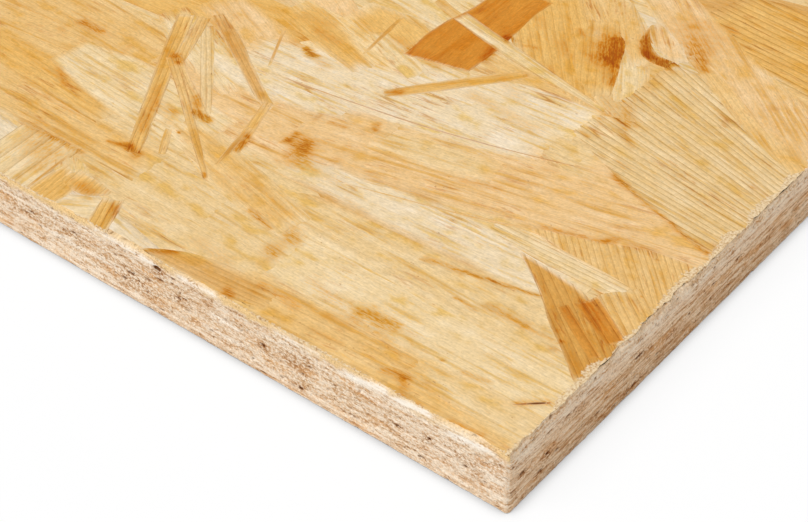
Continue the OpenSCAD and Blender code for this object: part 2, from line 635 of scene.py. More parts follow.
# Each strand is a trapezoid of four stations by four columns, its ends skewed and narrowed, carried as a
# closed profile of six corners: place = centre + t * length * way + s * halfWidth * side.
def strewnStrands(name, look, seed, under):
    rng = np.random.default_rng(seed)
    count = look["columns"] * look["rows"]
    place = rng.permutation(count)
    across = (rightSide - leftSide) / look["columns"]
    along = (farSide - nearSide) / look["rows"]
    cx = leftSide + (place // look["rows"] + rng.uniform(*look["jitter"], count)) * across
    cy = nearSide + (place % look["rows"] + rng.uniform(*look["jitter"], count)) * along
    stick = rng.random(count) < look["stickShare"]
    length = rng.uniform(*look["length"], count)
    width = look["width"][0] + (look["width"][1] - look["width"][0]) * rng.beta(*look["widthShape"], count)
    length = np.where(stick, rng.uniform(*look["stickLength"], count), length)
    width = np.where(stick, rng.uniform(*look["stickWidth"], count), width)
    loose = stick | (rng.random(count) < look["looseShare"])
    turn = np.where(loose, rng.uniform(-1, 1, count) * look["looseSpread"],
                    rng.normal(0, look["straightSpread"], count))
    turn = np.radians(turn)
    skew = rng.uniform(-look["skew"], look["skew"], (count, 2))
    narrow = rng.uniform(*look["narrow"], (count, 2))
    bow = rng.normal(0, look["bow"], count)
    tone = rng.choice(len(look["tones"]), count, p=look["shares"])
    bright = rng.normal(1, look["brightSpread"], count)
    ringGap = rng.uniform(*look["ringGap"], count)
    ringStrength = rng.beta(*look["ringShape"], count) * look["ringMost"]
    rimShadeStrength = rng.uniform(*look["rim"], count)
    grainTilt = rng.normal(0, look["grainTilt"], count)
    edge = perStrand(np.minimum(look["border"][0], look["border"][1] * width) / (width / 2))
    tint = linear([tones[n] for n in look["tones"]])[tone] * bright[:, None]
    c = perStrand(np.cos(turn))
    d = perStrand(np.sin(turn))

    # t runs 0 to 1 along a strand, s from -1 to 1 across it
    def outline(t, s):
        end = 2 * t - 1
        late = np.abs(end) ** look["endPower"]
        spread = 1 - (1 - np.where(end < 0, narrow[:, :1, None], narrow[:, 1:, None])) * late
        lean = np.where(end < 0, skew[:, :1, None], skew[:, 1:, None]) * late
        half = perStrand(width) / 2 * spread
        u = end * perStrand(length) / 2 + lean * s * half
        v = s * half + perStrand(bow) * (1 - end ** 2)
        return perStrand(cx) + u * c - v * d, perStrand(cy) + u * d + v * c

    t = np.linspace(0, 1, look["coverSteps"][0])[None, :, None]
    s = np.linspace(-1, 1, look["coverSteps"][1])[None, None, :]
    coverX, coverY = outline(t, s)
    inside = (coverX > leftSide) & (coverX < rightSide) & (coverY > nearSide) & (coverY < farSide)
    stack = Stack()
    level = np.zeros(count, int)
    cornerX, cornerY = fromCorner(*look["corner"])
    for k in range(count):
        seen = inside[k]
        if seen.mean() < look["leastSeen"]:
            continue
        inCorner = (not under) and cx[k] > cornerX and cy[k] < cornerY
        cap = look["cornerCap"] if inCorner else look["cap"]
        level[k] = stack.layStiff(coverX[k][seen], coverY[k][seen], tint[k], cap)
    kept = np.flatnonzero(level)

    t = np.array(look["stations"])[None, :, None]
    one = np.ones((count, 1, 1))
    s = np.concatenate([-one, -one + edge, one - edge, one, one, -one], 2)
    x, y = outline(t, s)
    x, y = sawn(x, y, look["inset"], look["inset"])
    u = (x - perStrand(cx)) * c + (y - perStrand(cy)) * d
    v = (y - perStrand(cy)) * c - (x - perStrand(cx)) * d + perStrand(grainTilt) * u
    ones = np.ones_like(x)
    # the rim carries painted shade along each strand's border, none at a sawn side
    rim = np.zeros_like(x)
    rim[:, :, [0, 3, 4, 5]] = 1
    rim[:, [0, -1], :] = 1
    rim *= rimShown(x, y)
    drop = np.zeros_like(x)
    drop[:, :, 4:] = stackLook["flakeThick"]
    scatterSeed, apart = look["grainSeed"]
    ownSeed = scatter(np.arange(count), 1, scatterSeed) * apart
    figure = [ones * perStrand(row) for row in (ringGap, ringStrength, rimShadeStrength)]
    fields = {
        "grain": np.stack([u, v, ones * perStrand(ownSeed)], -1),
        "figure": np.stack(figure, -1),
        "tint": np.concatenate([ones[..., None] * tint[:, None, None, :], ones[..., None]], -1),
        "stain": np.zeros_like(x),
        "worn": np.zeros_like(x),
        "rim": rim,
    }
    for label, values in fields.items():
        values = values[kept]
        fields[label] = values.reshape(-1, values.shape[-1]) if values.ndim == 4 else values.ravel()
    stations = len(look["stations"])
    quads, caps = sweptFaces(stations, stripCorners)
    first = (np.arange(len(kept)) * stations * stripCorners)[:, None, None]
    faces = [(quads[None] + first).reshape(-1, 4), (caps[None] + first).reshape(-1, stripCorners)]
    return {"name": name, "x": x[kept], "y": y[kept], "drop": drop[kept], "level": level[kept],
            "faces": faces, "fields": fields, "stack": stack}


# Heights follow the levels: the highest level is the face itself, and each level below lies a step lower.
def layFace(strewn, topLevel, under, finish):
    depth = (topLevel - strewn["level"])[:, None, None] * stackLook["step"] + strewn["drop"]
    z = depth if under else faceTop - depth
    points = np.stack([strewn["x"], strewn["y"], z], -1).reshape(-1, 3)
    faces = [f[:, ::-1] for f in strewn["faces"]] if under else strewn["faces"]
    tops = [np.arange(len(faces[0])) % stripCorners < 3, np.zeros(len(faces[1]), bool)]
    return makePiece(strewn["name"], points, faces, strewn["fields"], flatMap(points, faces, tops), finish)


faceSeed, undersideSeed = 11, 23
topStrewn = strewnStrands("face_strands", strewnLook, faceSeed, False)
underStrewn = strewnStrands("underside_strands", strewnLook, undersideSeed, True)
print("strewn:", len(topStrewn["level"]), "strands on the face,",
      len(underStrewn["level"]), "on the underside")


# The strands that show at the near corner, lowest first. Each route is a list of (a, b, width) in mm from the
# corner; grain is the fibres' own angle from the sheet's length; rings are their gap and how strongly they
# show; rim is how strongly the painted shade in the gap round the border shows. Borders fade into what lies
# under them, over so many mm on the right and on the left of the route; fill is how much of the strand's own
# tone shows, and soak how much of the stains it takes.
def strand(tone, grain, route, rings=(3.6, 0.2), cut=(0, 0), rim=0.2, ragged=0.6, fan=None, fade=(3, 3),
           fill=1.0, soak=1.0):
    return {"tone": tone, "grain": grain, "route": route, "rings": rings, "cut": cut, "rim": rim,
            "ragged": ragged, "fan": fan, "fade": fade, "fill": fill, "soak": soak}


ringFan = (-131, 72)      # where the broad striped strand's rings would run together
cornerStrands = [
    # broad strands along the near edge
    strand("straw", 0, [(92, 24, 20), (80, 24, 26), (40, 23, 27), (-2, 22, 27)], (4.5, 0.15)),
    strand("wheat", -2, [(100, 36, 8), (88, 37, 16), (40, 38, 18), (-2, 38, 17)], (4.0, 0.2)),
    strand("honey", 1, [(90, 7, 12), (60, 6, 16), (20, 6, 17), (-2, 6, 17)], (3.4, 0.35)),
    strand("wheat", 1, [(34, 10, 5), (18, 9, 10), (-2, 8, 12)], (3.4, 0.2)),
    strand("wheat", -3, [(134, 18, 14), (110, 18, 22), (82, 18, 18)], (3.8, 0.25)),
    strand("wheat", -4, [(165, 20, 12), (140, 21, 20), (108, 24, 14)], (4.0, 0.2)),
    strand("honey", -1, [(232, 27, 18), (180, 27, 18), (133, 26, 14)], (3.0, 0.35)),
    strand("olive", -5, [(232, 43, 16), (190, 41, 17), (158, 37, 12)], (2.6, 0.35)),
    strand("honey", 3, [(236, 54, 16), (205, 53, 17), (184, 52, 14)], (2.8, 0.35)),
    strand("honey", -6, [(232, 70, 20), (195, 68, 20), (160, 64, 16)], (2.6, 0.4)),
    strand("peach", 2, [(168, 62, 16), (135, 60, 26), (98, 57, 22)], (4.2, 0.2)),
    strand("straw", -6, [(190, 51, 14), (165, 49, 23), (130, 45, 20)], (2.2, 0.45), rim=0.3,
           fade=(1.5, 1.5)),
    strand("honey", -14, [(141, 45, 8), (115, 37, 15), (88, 31, 10)], (3.4, 0.3)),
    strand("cream", 2, [(108, 50, 10), (80, 52, 16), (45, 54, 18), (18, 54, 14)], (4.6, 0.12)),
    # the pale field at the middle left
    strand("straw", -24, [(182, 84, 8), (165, 78, 20), (138, 70, 18)], (2.4, 0.3)),
    strand("peach", -25, [(176, 97, 14), (155, 90, 18), (128, 84, 10)], (3.2, 0.2)),
    strand("cream", -12, [(160, 74, 4), (150, 73, 8), (126, 69, 9)], (3.4, 0.1), rim=0.1),
    strand("cream", 0, [(144, 73, 6), (128, 74.5, 14), (104, 77, 10)], (3.6, 0.1), rim=0),
    strand("cream", 3, [(152, 84, 12), (120, 88, 24), (80, 93, 24), (58, 95.5, 16)], (4.4, 0.12), rim=0.1),
    strand("honey", -4, [(97, 119.5, 12), (80, 119.5, 8), (52, 118.5, 4)], (2.8, 0.3)),
    strand("cream", 2, [(116, 105, 8), (102, 104, 14), (86, 105, 10)], (4.0, 0.1), rim=0),
    strand("cream", 3, [(94, 107, 10), (75, 110, 16), (55.5, 110.5, 16)], (4.0, 0.1), rim=0.35, fade=(3, 1)),
    # the group round the amber flake
    strand("olive", -20, [(140, 118, 12), (125, 117, 16), (112, 116, 12)], (3.0, 0.25)),
    strand("olive", -17, [(156, 108, 12), (140, 103, 13), (119, 95, 8)], (2.6, 0.4)),
    strand("straw", -22, [(128, 112, 5), (118, 107, 8), (105.5, 102, 7)], (2.6, 0.3), rim=0.4, fade=(1, 1)),
    strand("honey", -45, [(100, 172, 16), (84, 162, 18), (66, 152, 12)], (2.6, 0.4)),
    strand("olive", -50, [(104, 160, 20), (92, 146, 26), (78, 134, 24), (60, 122, 10)], (2.4, 0.5)),
    strand("amber", -86, [(106.5, 156, 17), (106.3, 140, 17), (105.8, 124, 21.5), (105.9, 109.8, 19.3)],
           (6.0, 0.2), cut=(0, -0.24), rim=0.7, ragged=0.25, fade=(0.5, 0.5)),
    # the long honey strand across the middle
    strand("peach", 11, [(115, 64, 14), (102, 66, 26), (60, 75, 27), (30, 82, 30), (-2, 88, 30)],
           (5.0, 0.25)),
    strand("wheat", 11, [(97, 72, 10), (80, 76, 17), (62, 79, 10)], (4.4, 0.2), rim=0, fade=(5, 5)),
    strand("peach", 8, [(109.5, 75.6, 5), (104, 75.9, 7.5), (94, 77, 7)], (3.6, 0.2), rim=0.1,
           fade=(3, 1.5)),
    strand("peach", 8, [(48, 98, 8), (38, 96.5, 9), (26, 94, 8)], (4.0, 0.2), rim=0),
    # the striped strand and what lies over its upper side
    strand("wheat", -30, [(64, 130, 8), (55, 125, 11), (44, 119, 9)], (2.7, 0.5), rim=0),
    strand("straw", -58, [(66, 150, 7), (58.5, 137, 10), (54, 126, 6)], (2.4, 0.3), soak=0.2),
    strand("wheat", -21, [(54.5, 140, 22.4), (48, 137.5, 26), (27, 126.5, 33), (10, 119, 26), (-2, 112, 18)],
           (2.05, 1.15), cut=(-0.39, 0), rim=0.4, fan=ringFan, fade=(3, 1)),
    strand("wheat", -12, [(57, 111.5, 10), (45, 111.5, 21), (20, 104.5, 27), (-2, 98, 28)], (2.05, 1.1),
           rim=0.2, fan=ringFan, fade=(0.6, 3)),
    strand("olive", -8, [(58, 186, 20), (40, 181, 36), (15, 176, 36), (-2, 175, 30)], (2.3, 1.1)),
    strand("peach", -40, [(76, 181, 14), (60, 170, 18), (40, 158, 17), (20, 148, 18), (-2, 139, 18)],
           (3.2, 0.35)),
    strand("honey", -36, [(52, 157, 4), (38, 149.5, 6), (25, 140, 6), (12, 132.5, 5), (-2, 126, 4)],
           (2.2, 0.4)),
    strand("honey", -52, [(83, 168, 8), (72, 156, 8), (60, 144, 5)], (2.2, 0.3), soak=0.4),
    strand("olive", -58, [(80.5, 157, 8), (77.3, 150.5, 10), (74.6, 147.2, 13), (72, 139.5, 14),
                          (68.2, 134, 12), (64.4, 129.2, 9), (60.6, 124.5, 5)], (2.2, 0.5), rim=0.6,
           fade=(8, 0.4)),
    # below the pale curled flake: a dark strand, partly its own brown and partly painted shade under the curl
    strand("ochre", -55, [(68.6, 163, 1.2), (67, 157, 2.4), (64.5, 152.6, 4), (60, 149.2, 4.8),
                          (54.3, 149.4, 3.8)], (2.0, 0.3), rim=0, fade=(1.4, 1.0)),
    strand("peach", -50, [(68.5, 164.5, 3), (63, 159.6, 7.6), (57.5, 155.6, 7), (52, 152.6, 3.6)],
           (2.6, 0.25), rim=0.2, fade=(1.2, 2), soak=0.2),
    # the fan of striped strands at the right
    strand("honey", -46, [(42, 66.6, 1.2), (30, 67.5, 6.5), (18, 69.5, 13), (8, 69, 20), (-2, 66, 26)],
           (1.6, 0.8), fade=(0.6, 0.8)),
    strand("ochre", -39, [(38.5, 57.2, 0.8), (28, 53.2, 6.5), (20, 49.3, 11.5), (12, 43.5, 12.5),
                          (4, 37.8, 14), (-2, 33.5, 15)], (1.9, 0.8), rim=0.6, fade=(0.6, 1.5)),
    strand("straw", -2, [(50, 61.4, 3), (40, 61.2, 6.4), (25, 60.6, 7.2), (12, 60, 6.4), (7, 60, 3)],
           (1.4, 0.9), rim=0.1, fade=(1.4, 1.4)),
    strand("honey", -37, [(12, 60, 10.5), (5, 54.5, 11), (-2, 49, 11)], (1.8, 0.8), rim=0.4,
           fade=(0.8, 1.2)),
    strand("amber", -32, [(16.2, 52.4, 6.2), (10, 48.8, 6), (2.4, 44.2, 5)], (3.0, 0.9), rim=0.5,
           fade=(0.5, 0.5), fill=0.95),
    strand("amber", -33, [(19.4, 47.4, 2.6), (12, 42.4, 3), (3.4, 37.2, 3)], (3.0, 0.9), rim=0.4,
           fade=(0.5, 0.5), fill=0.7),
    # across the long edge at the left
    strand("straw", -86, [(163, 19.5, 20.5), (162, 8, 21.5), (161, -2, 21.5)], (5.2, 0.7), rim=0.4,
           fade=(1, 0.6)),
    strand("straw", -40, [(153, 15, 5), (148.5, 12.5, 9), (143, 11, 6)], (2.4, 0.2), rim=0.1),
    strand("straw", 30, [(142, 2, 5), (136, 3.6, 8), (129, 5.5, 8)], (2.2, 0.35), rim=0.1, fade=(2, 2)),
    strand("olive", -84, [(146.4, 11.5, 9), (146.4, 6, 10.8), (146.4, -2, 10.8)], (1.7, 0.6), cut=(0.5, 0),
           rim=0.2, fade=(1.4, 1.2)),
    strand("olive", -78, [(147, 11.4, 6), (140, 10, 7.4), (136, 11, 4.6), (133.2, 11.8, 1)], (1.7, 0.6),
           rim=0.15, fade=(2, 2)),
    strand("tan", 5, [(112, 0.3, 1.5), (106, 2.4, 5), (98, 4, 9), (84, 5, 10), (74, 6, 5)], (1.7, 0.6),
           rim=0.4, fade=(3, 1.8), fill=0.8),
    # sticks that lie over the rest
    strand("straw", -14, [(115, 133.7, 5.2), (95, 128, 6), (78, 124.2, 4.6), (56, 119.6, 1.6)], (2.2, 0.6),
           rim=0.6, fade=(0.8, 0.8)),
    strand("olive", 52, [(107.2, 89.3, 2.6), (104, 93, 4.2), (95, 105, 4.8), (86, 116.3, 4.2),
                         (82.6, 121, 2.2)], (2.0, 0.4), rim=0.4, fade=(1, 1)),
    strand("tan", -33, [(170, 90.5, 3), (158, 84, 4.6), (146, 76, 4.2), (134, 68.5, 3.6), (128, 65.5, 3)],
           (1.3, 0.7), rim=0.4),
    strand("olive", -68, [(128.8, 66.5, 2.4), (125.5, 57, 3.0), (122.5, 49, 3.4), (120, 44.5, 1)],
           (1.2, 0.7), rim=0.4),
    strand("tan", -74, [(124.5, 55, 2.4), (122.8, 46, 2), (121, 37.5, 0.8)], (1.2, 0.6), rim=0.4),
    strand("wheat", -47, [(168, 84, 3.6), (158, 73.5, 4), (146, 60.5, 3.6), (138.5, 52, 3)], (1.3, 0.8),
           rim=0.3),
    strand("honey", -56, [(141.4, 41.2, 1.8), (138.2, 36.6, 2.4), (135, 32, 1.8)], (1.2, 0.7),
           fade=(0.8, 0.8)),
    strand("olive", -58, [(177, 85, 5), (166, 66.5, 5.2), (157, 52.5, 5.2), (149, 40, 4.6), (141.5, 28, 4)],
           (1.5, 0.9), rim=0.6, fade=(1, 1)),
    strand("honey", -60, [(172, 87, 4), (168, 79, 4), (162.5, 66.5, 4)], (1.3, 0.8), rim=0.5, fade=(1, 1)),
    strand("honey", -34, [(164.5, 67, 4.6), (157, 61.6, 4.4), (149, 56.6, 4.4), (137, 50, 3.6)], (1.5, 0.8),
           rim=0.3),
    strand("honey", -37, [(164, 66, 3), (150, 55.5, 2.8), (135, 44, 2.4), (119, 31.5, 1.2)], (1.1, 0.8),
           rim=0.6, fade=(0.8, 0.8)),
    strand("ochre", -78, [(127.7, 123, 0.8), (126, 113, 1.6), (124, 101, 0.7)], rim=0.6, ragged=0.2,
           fill=0.9),
    strand("ochre", -60, [(150, 97, 0.9), (145, 88, 1.1), (140.6, 80, 0.8)], rim=0.6, ragged=0.2, fill=0.9),
    strand("ochre", -87, [(153.4, 17, 0.7), (152.4, 8, 0.9), (151.4, -1, 0.8)], rim=0.6, ragged=0.2,
           fill=0.9),
    strand("olive", -64, [(130.8, 10.3, 5.5), (128.3, 5, 6.4), (125.2, -2, 6.2)], (1.3, 0.9), rim=0.4,
           fade=(1, 1)),
    strand("umber", 8, [(134, 78, 0.3), (112, 80.6, 0.5), (88, 84, 0.6), (64, 89.6, 0.4), (44, 95.6, 0.3)],
           rim=0, ragged=0.1, fill=0.6, soak=0),
    strand("tan", 15, [(91, 51.5, 0.3), (72, 56.6, 0.6), (52, 62, 0.5), (30, 72.5, 0.4)], ragged=0.1,
           fill=0.6),
    # the crack at the corner, drawn as two dark strands: painted shade inside the crack
    strand("umber", 42, [(9.4, 13.4, 0.2), (5.6, 16.9, 1.0), (3.0, 19.2, 0.5)], rim=0, ragged=0.3,
           fade=(0.2, 0.2), soak=0),
    strand("crackShade", 42, [(7.2, 15.4, 0.15), (5.4, 17.1, 0.7), (3.8, 18.5, 0.3)], rim=0, ragged=0.2,
           fade=(0.1, 0.1), soak=0),
]

# Stains and knots on those strands, and round the curled flake near (60, 148) partly the painted shade under
# it: soft strokes from (a, b) to (a, b), a half width in mm, and how deep.
stains = [
    (55, 16.6, 46, 17.8, 1.8, 0.7), (60, 11, 46, 13.5, 1.8, 0.3), (80, 9.3, 68, 8.4, 1.2, 0.6),
    (87, 27.8, 84.5, 26.4, 2.0, 0.45), (88, 21, 85, 19.4, 1.6, 0.45), (60.5, 4.6, 51.4, 5.1, 0.6, 0.6),
    (39, 4.2, 33, 5.8, 1.0, 0.8), (33, 4.6, 29.6, 0.4, 1.3, 0.6), (24, 15, 17.5, 16.1, 0.8, 0.6),
    (30.4, 15, 30.2, 15, 0.4, 1.0), (17, 0.8, 9, 1.8, 0.9, 0.6), (110, 1.5, 104, 6, 1.0, 1.0),
    (95, 3, 92, 3.5, 1.5, 0.2), (84.6, 2.4, 82.6, 1.4, 1.2, 0.9), (120.6, 32.6, 119.6, 31.4, 0.7, 0.9),
    (101, 28.8, 92.6, 26.4, 0.8, 0.8), (55.5, 40.6, 45, 42.8, 0.9, 0.8), (45, 42.8, 26, 47, 0.45, 1.1),
    (33.5, 36.6, 23, 36.3, 1.1, 0.8), (22, 36.2, 14.4, 36.4, 0.7, 0.6), (41, 34.4, 34.6, 33.4, 0.5, 0.8),
    (13, 33.7, 12.5, 33.7, 1.0, 0.7), (109, 58.5, 107, 53.5, 3.2, 0.8), (108, 57.5, 107, 56.8, 1.4, 0.45),
    (113.3, 61, 113.2, 57, 0.8, 0.8), (113.8, 56, 113.6, 56, 0.7, 0.8), (97.5, 58.5, 97, 58.5, 1.5, 0.4),
    (114.2, 71, 114, 68.5, 0.8, 0.6), (110, 70, 105, 70.6, 0.6, 0.7), (99.6, 77, 98.2, 74.5, 1.0, 0.9),
    (67, 71.5, 58, 74.5, 1.4, 0.45), (24.6, 74.4, 23.4, 75.4, 1.0, 0.9), (19.5, 75.6, 13.5, 78.2, 1.1, 0.5),
    (40, 68.8, 25, 73.2, 0.8, 0.7), (54, 88.3, 51, 89, 1, 0.45), (39, 97, 34, 96, 0.8, 0.25),
    (38, 97, 3, 85, 0.8, 0.8), (41, 103, 37, 102, 1, 0.5), (55.5, 108, 53, 107, 0.8, 0.6),
    (55, 117, 53, 111, 1, 0.45), (52, 126, 47, 118, 2.4, 0.45), (47, 115, 41, 110, 1, 0.5),
    (72, 151, 68.6, 145.5, 2.5, 1.0), (74, 150, 70, 141, 4.5, 0.4), (74, 147, 71, 140.5, 2.8, 0.5),
    (67, 141, 61.5, 132, 1.9, 0.8), (69.4, 145, 67, 140, 1.5, 0.6), (83.5, 148.5, 82, 147.5, 1, 0.7),
    (97, 147, 93, 143, 1.5, 0.4), (84, 140, 80, 136, 1.5, 0.4), (80, 128, 77, 126, 0.9, 0.5),
    (97.8, 133, 96.4, 132, 1.2, 1.6), (92, 132, 88, 133.5, 0.8, 0.5), (48.5, 157, 45, 153, 1.2, 0.6),
    # the strokes from (67, 157), (62, 150), (67, 145) and (56, 148.4) lie round the curled flake: partly its
    # brown, partly painted shade under it
    (56, 163, 50, 158, 2, 0.15), (52, 177, 49, 175.5, 1.5, 0.5), (67, 157, 62, 150, 1.7, 1.05),
    (62, 150, 55, 148.6, 1.7, 1.0), (106.6, 90.2, 104.4, 92.6, 1.4, 0.9), (82.5, 121, 82.3, 120.6, 1, 0.5),
    (138, 92.6, 134.5, 91.2, 1.0, 1.1), (142, 102, 134, 101, 1.4, 0.5), (150, 105, 140, 107, 2, 0.3),
    (96, 113, 92, 113.6, 0.8, 0.5), (164.6, 66.8, 161.4, 65.6, 1.2, 0.7),
    (141, 50.8, 135.8, 50.2, 1.1, 1.2), (146, 56.6, 142.5, 53.4, 1.3, 0.8), (147, 48, 145, 47.5, 1.2, 0.4),
    (138.4, 41.8, 138, 41.8, 0.5, 1.6), (144.5, 29, 139.8, 28.2, 1.4, 1.1),
    (150, 27.2, 144.5, 28.8, 0.7, 0.8), (198, 63.5, 190, 63.5, 1.4, 0.55), (178, 63, 177, 59, 1, 0.4),
    (200, 57, 197, 55.5, 1.2, 0.4), (192, 58, 190, 57, 1, 0.4), (185, 42.4, 177.6, 38.6, 0.9, 0.6),
    (187, 31, 165, 30.7, 0.7, 0.45), (175, 19.7, 152, 19.3, 0.8, 0.5), (200, 43, 160, 36.5, 2, 0.12),
    (141, 9.4, 137, 8.6, 2.2, 0.7), (128, 8, 125, 6, 1.5, 0.5), (122, 3.5, 121.6, 3.5, 0.8, 0.6),
    (85, 47, 78, 46, 1, 0.4), (81, 34.4, 80.8, 34.4, 0.5, 0.7), (97.5, 125, 96, 120, 1.5, 1.0),
    (115.5, 128, 115.5, 108.5, 0.8, 0.4), (16.8, 51.6, 11, 48.4, 1.4, 0.6), (19.4, 47.4, 14, 44, 1.0, 0.5),
    (13, 37.4, 12.6, 36.9, 0.45, 1.4), (157.4, 53.4, 151.5, 45.5, 1.4, 0.5),
    (150.5, 42.5, 146.5, 37, 1.4, 0.7), (60, 171, 50, 163, 5, 0.4), (57, 166, 47, 154, 2.2, 0.2),
    (15.6, 39.8, 15.2, 39.4, 0.5, 0.9), (8.6, 14.4, 3.2, 19.0, 1.1, 0.7),
    (11.5, 75.5, 11.3, 75.5, 0.5, 0.8), (123, 51.6, 120.5, 51.2, 0.6, 0.9),
    (121.5, 49, 120.4, 45.6, 0.8, 0.7), (7, 61.5, 6.8, 61.5, 0.5, 0.8), (66, 160, 53, 152, 5, 0.34),
    (67, 145, 57, 144.5, 2.4, 0.6), (86.5, 30, 84.5, 16, 2.4, 0.34), (168, 16, 156, 10, 5, 0.42),
    (160, 17, 155, 15, 3.5, 0.3), (88, 104, 65, 100, 2.6, 0.35), (110, 56, 103, 52, 3.8, 0.2),
    (104, 53, 92, 51, 2, 0.3), (168, 86, 152, 78, 2.2, 0.45), (53, 19, 38, 14.5, 3.2, 0.24),
    (122, 112, 104, 108.5, 2.2, 0.45), (143, 94, 128, 89.5, 1.8, 0.45), (72, 17.5, 56, 15.5, 1.9, 0.35),
    (102, 12, 92, 10.5, 2.3, 0.35), (58, 124, 50, 118, 2.6, 0.4), (57, 173.5, 50, 170, 2.6, 0.2),
    (150, 49, 143, 43, 2.4, 0.35), (198, 63.5, 186, 63, 1.6, 0.4), (86, 115, 78, 110.5, 2.4, 0.35),
    (123.5, 52.5, 121.5, 45, 1.3, 0.5), (165, 67.4, 161, 65.6, 1.4, 0.4),
    (56, 148.4, 53.8, 151.6, 1.4, 0.8),
]

cornerLook = {
    "step": 1.0,                # between the rows and columns of a strand's mesh
    "rims": (0.35, 0.9),        # how far in the two close steps of its rim lie
    "rimMost": (0.16, 0.33),    # and at most as shares of its length or width
    "cutting": 0.25,            # share of a leg that cutting its corners takes
    "cuttings": 2,
    "raggedRun": 1.7,           # between the teeth of a ragged end
    "raggedFull": 8,            # width from which an end is as ragged as its strand says
    "raggedSeeds": (8, 9),
    "reach": 0.4,               # looked ahead and back for the way that a route runs
    "wobble": (0.05, 9),        # how much the width varies, and over what length
    "wobbleApart": (3, 7.0),    # keeps sides and strands from varying alike
    "wobbleSeed": 10,
    "fadeNarrow": 3,            # fades wider than this are meant to be seen
    "fadeMost": (0.22, 0.7),    # most share of the width for a narrow fade and a wide one
    "fadeLeast": 1e-3,
    "fadeDeep": 0.85,           # how much of its tone a strand loses at its border
    "crisp": (1.2, 0.2),        # a rim weakens with its fade: first / (fade + second)
    "endRim": (0.5, 0.15),      # strength of a rim's two steps at the ends
    "sideRim": (1, 0.3),        # and at the sides
    "fanRadius": 176,           # from the fan's far point to where ring gaps are true
    "fanSeed": 0.5,
    "seedTurn": (0.618, 9),     # spreads the grain seeds of the other strands
    "stainRipples": [(0.25, 5, 1.6, 41), (0.25, 1.8, 0.9, 42)],
    "stainMost": 2,
}


# depth of stain at a place: each stroke falls to half at its half width from its own line, made uneven by
# ripples drawn out along the sheet, and strokes add up
def stainAt(x, y):
    depth = np.zeros_like(x)
    uneven = rippled(1, cornerLook["stainRipples"], x, y)
    for a0, b0, a1, b1, half, strength in stains:
        x0, y0 = fromCorner(a0, b0)
        x1, y1 = fromCorner(a1, b1)
        run = (x1 - x0) ** 2 + (y1 - y0) ** 2
        t = np.clip(((x - x0) * (x1 - x0) + (y - y0) * (y1 - y0)) / run, 0, 1)
        away = np.hypot(x - x0 - t * (x1 - x0), y - y0 - t * (y1 - y0))
        depth += strength * np.exp2(-(away * uneven / half) ** 2)
    return np.minimum(depth, cornerLook["stainMost"])


# steps from 0 to 1 along a length: two close ones at each end for the rim, and even ones between
def rimmedSteps(length):
    look = cornerLook
    near, far = [min(rim, share * length) for rim, share in zip(look["rims"], look["rimMost"])]
    inner = max(int((length - 2 * far) / look["step"]), 1)
    steps = np.linspace(far, length - far, inner + 1)
    return np.concatenate([[0, near], steps, [length - near, length]]) / length


# corner cutting, twice: each leg of a route gives the points a quarter in from its ends
def cutCorners(route):
    q = cornerLook["cutting"]
    line = np.array(route, float)
    for k in range(cornerLook["cuttings"]):
        early = line[:-1] * (1 - q) + line[1:] * q
        late = line[:-1] * q + line[1:] * (1 - q)
        line = np.concatenate([line[:1], np.stack([early, late], 1).reshape(-1, 3), line[-1:]])
    return line


# One strand of the corner: a column at share s of the half width runs from its own cut start to its own cut
# end, and place = centre(u) + s * halfWidth(u) * side(u), where u is the way along the centre line.
def cornerPlan(one, index):
    look = cornerLook
    line = cutCorners(one["route"])
    cx, cy = fromCorner(line[:, 0], line[:, 1])
    legs = np.hypot(np.diff(cx), np.diff(cy))
    way = np.concatenate([[0], np.cumsum(legs)])
    total = way[-1]
    widest = line[:, 2].max()
    t = rimmedSteps(total)[:, None]
    s = (2 * rimmedSteps(widest) - 1)[None]
    half = [line[0, 2] / 2, line[-1, 2] / 2]
    rough = one["ragged"] * np.minimum(1, widest / look["raggedFull"])
    teeth = [rough * smoothNoise(s * widest / look["raggedRun"], 0 * s + index, seed)
             for seed in look["raggedSeeds"]]
    start = one["cut"][0] * s * half[0] + teeth[0]
    stop = total + one["cut"][1] * s * half[1] + teeth[1]
    u = start + t * (stop - start)
    along = np.clip(u, 0, total)
    beyond = u - along
    ahead = np.minimum(along + look["reach"], total)
    behind = np.maximum(along - look["reach"], 0)
    tx = np.interp(ahead, way, cx) - np.interp(behind, way, cx)
    ty = np.interp(ahead, way, cy) - np.interp(behind, way, cy)
    size = np.hypot(tx, ty)
    tx, ty = tx / size, ty / size
    width = np.interp(along, way, line[:, 2]) / 2
    amount, run = look["wobble"]
    sideApart, strandApart = look["wobbleApart"]
    apart = np.sign(s) * sideApart + index * strandApart
    wobble = 1 + amount * smoothNoise(u / run, apart, look["wobbleSeed"])
    x = np.interp(along, way, cx) + beyond * tx - s * width * wobble * ty
    y = np.interp(along, way, cy) + beyond * ty + s * width * wobble * tx
    x, y = sawn(x, y, arrisBack(y - nearSide, "short"), arrisBack(rightSide - x, "long"))
    across = (1 - np.abs(s)) * width + 0 * u
    endwise = np.minimum(u - start, stop - u) / 2
    most = [look["fadeMost"][0 if fade <= look["fadeNarrow"] else 1] * widest for fade in one["fade"]]
    right, left = [min(fade, limit) for fade, limit in zip(one["fade"], most)]
    sideFade = np.where(s < 0, right, left) + look["fadeLeast"]
    endFade = min(max(one["fade"]), look["fadeNarrow"]) + look["fadeLeast"]
    inward = np.minimum(across / sideFade, endwise / endFade)
    # the rim carries painted shade along the strand's border, weaker where its border fades
    rim = np.zeros_like(x)
    crisp = [min(1, look["crisp"][0] / (fade + look["crisp"][1])) for fade in one["fade"]]
    for k, strength in enumerate(look["endRim"]):
        rim[[k, -1 - k], :] = strength * max(crisp)
    for k, strength in enumerate(look["sideRim"]):
        rim[:, k] = np.maximum(rim[:, k], strength * crisp[0])
        rim[:, -1 - k] = np.maximum(rim[:, -1 - k], strength * crisp[1])
    rim *= rimShown(x, y)
    return x, y, rim, inward


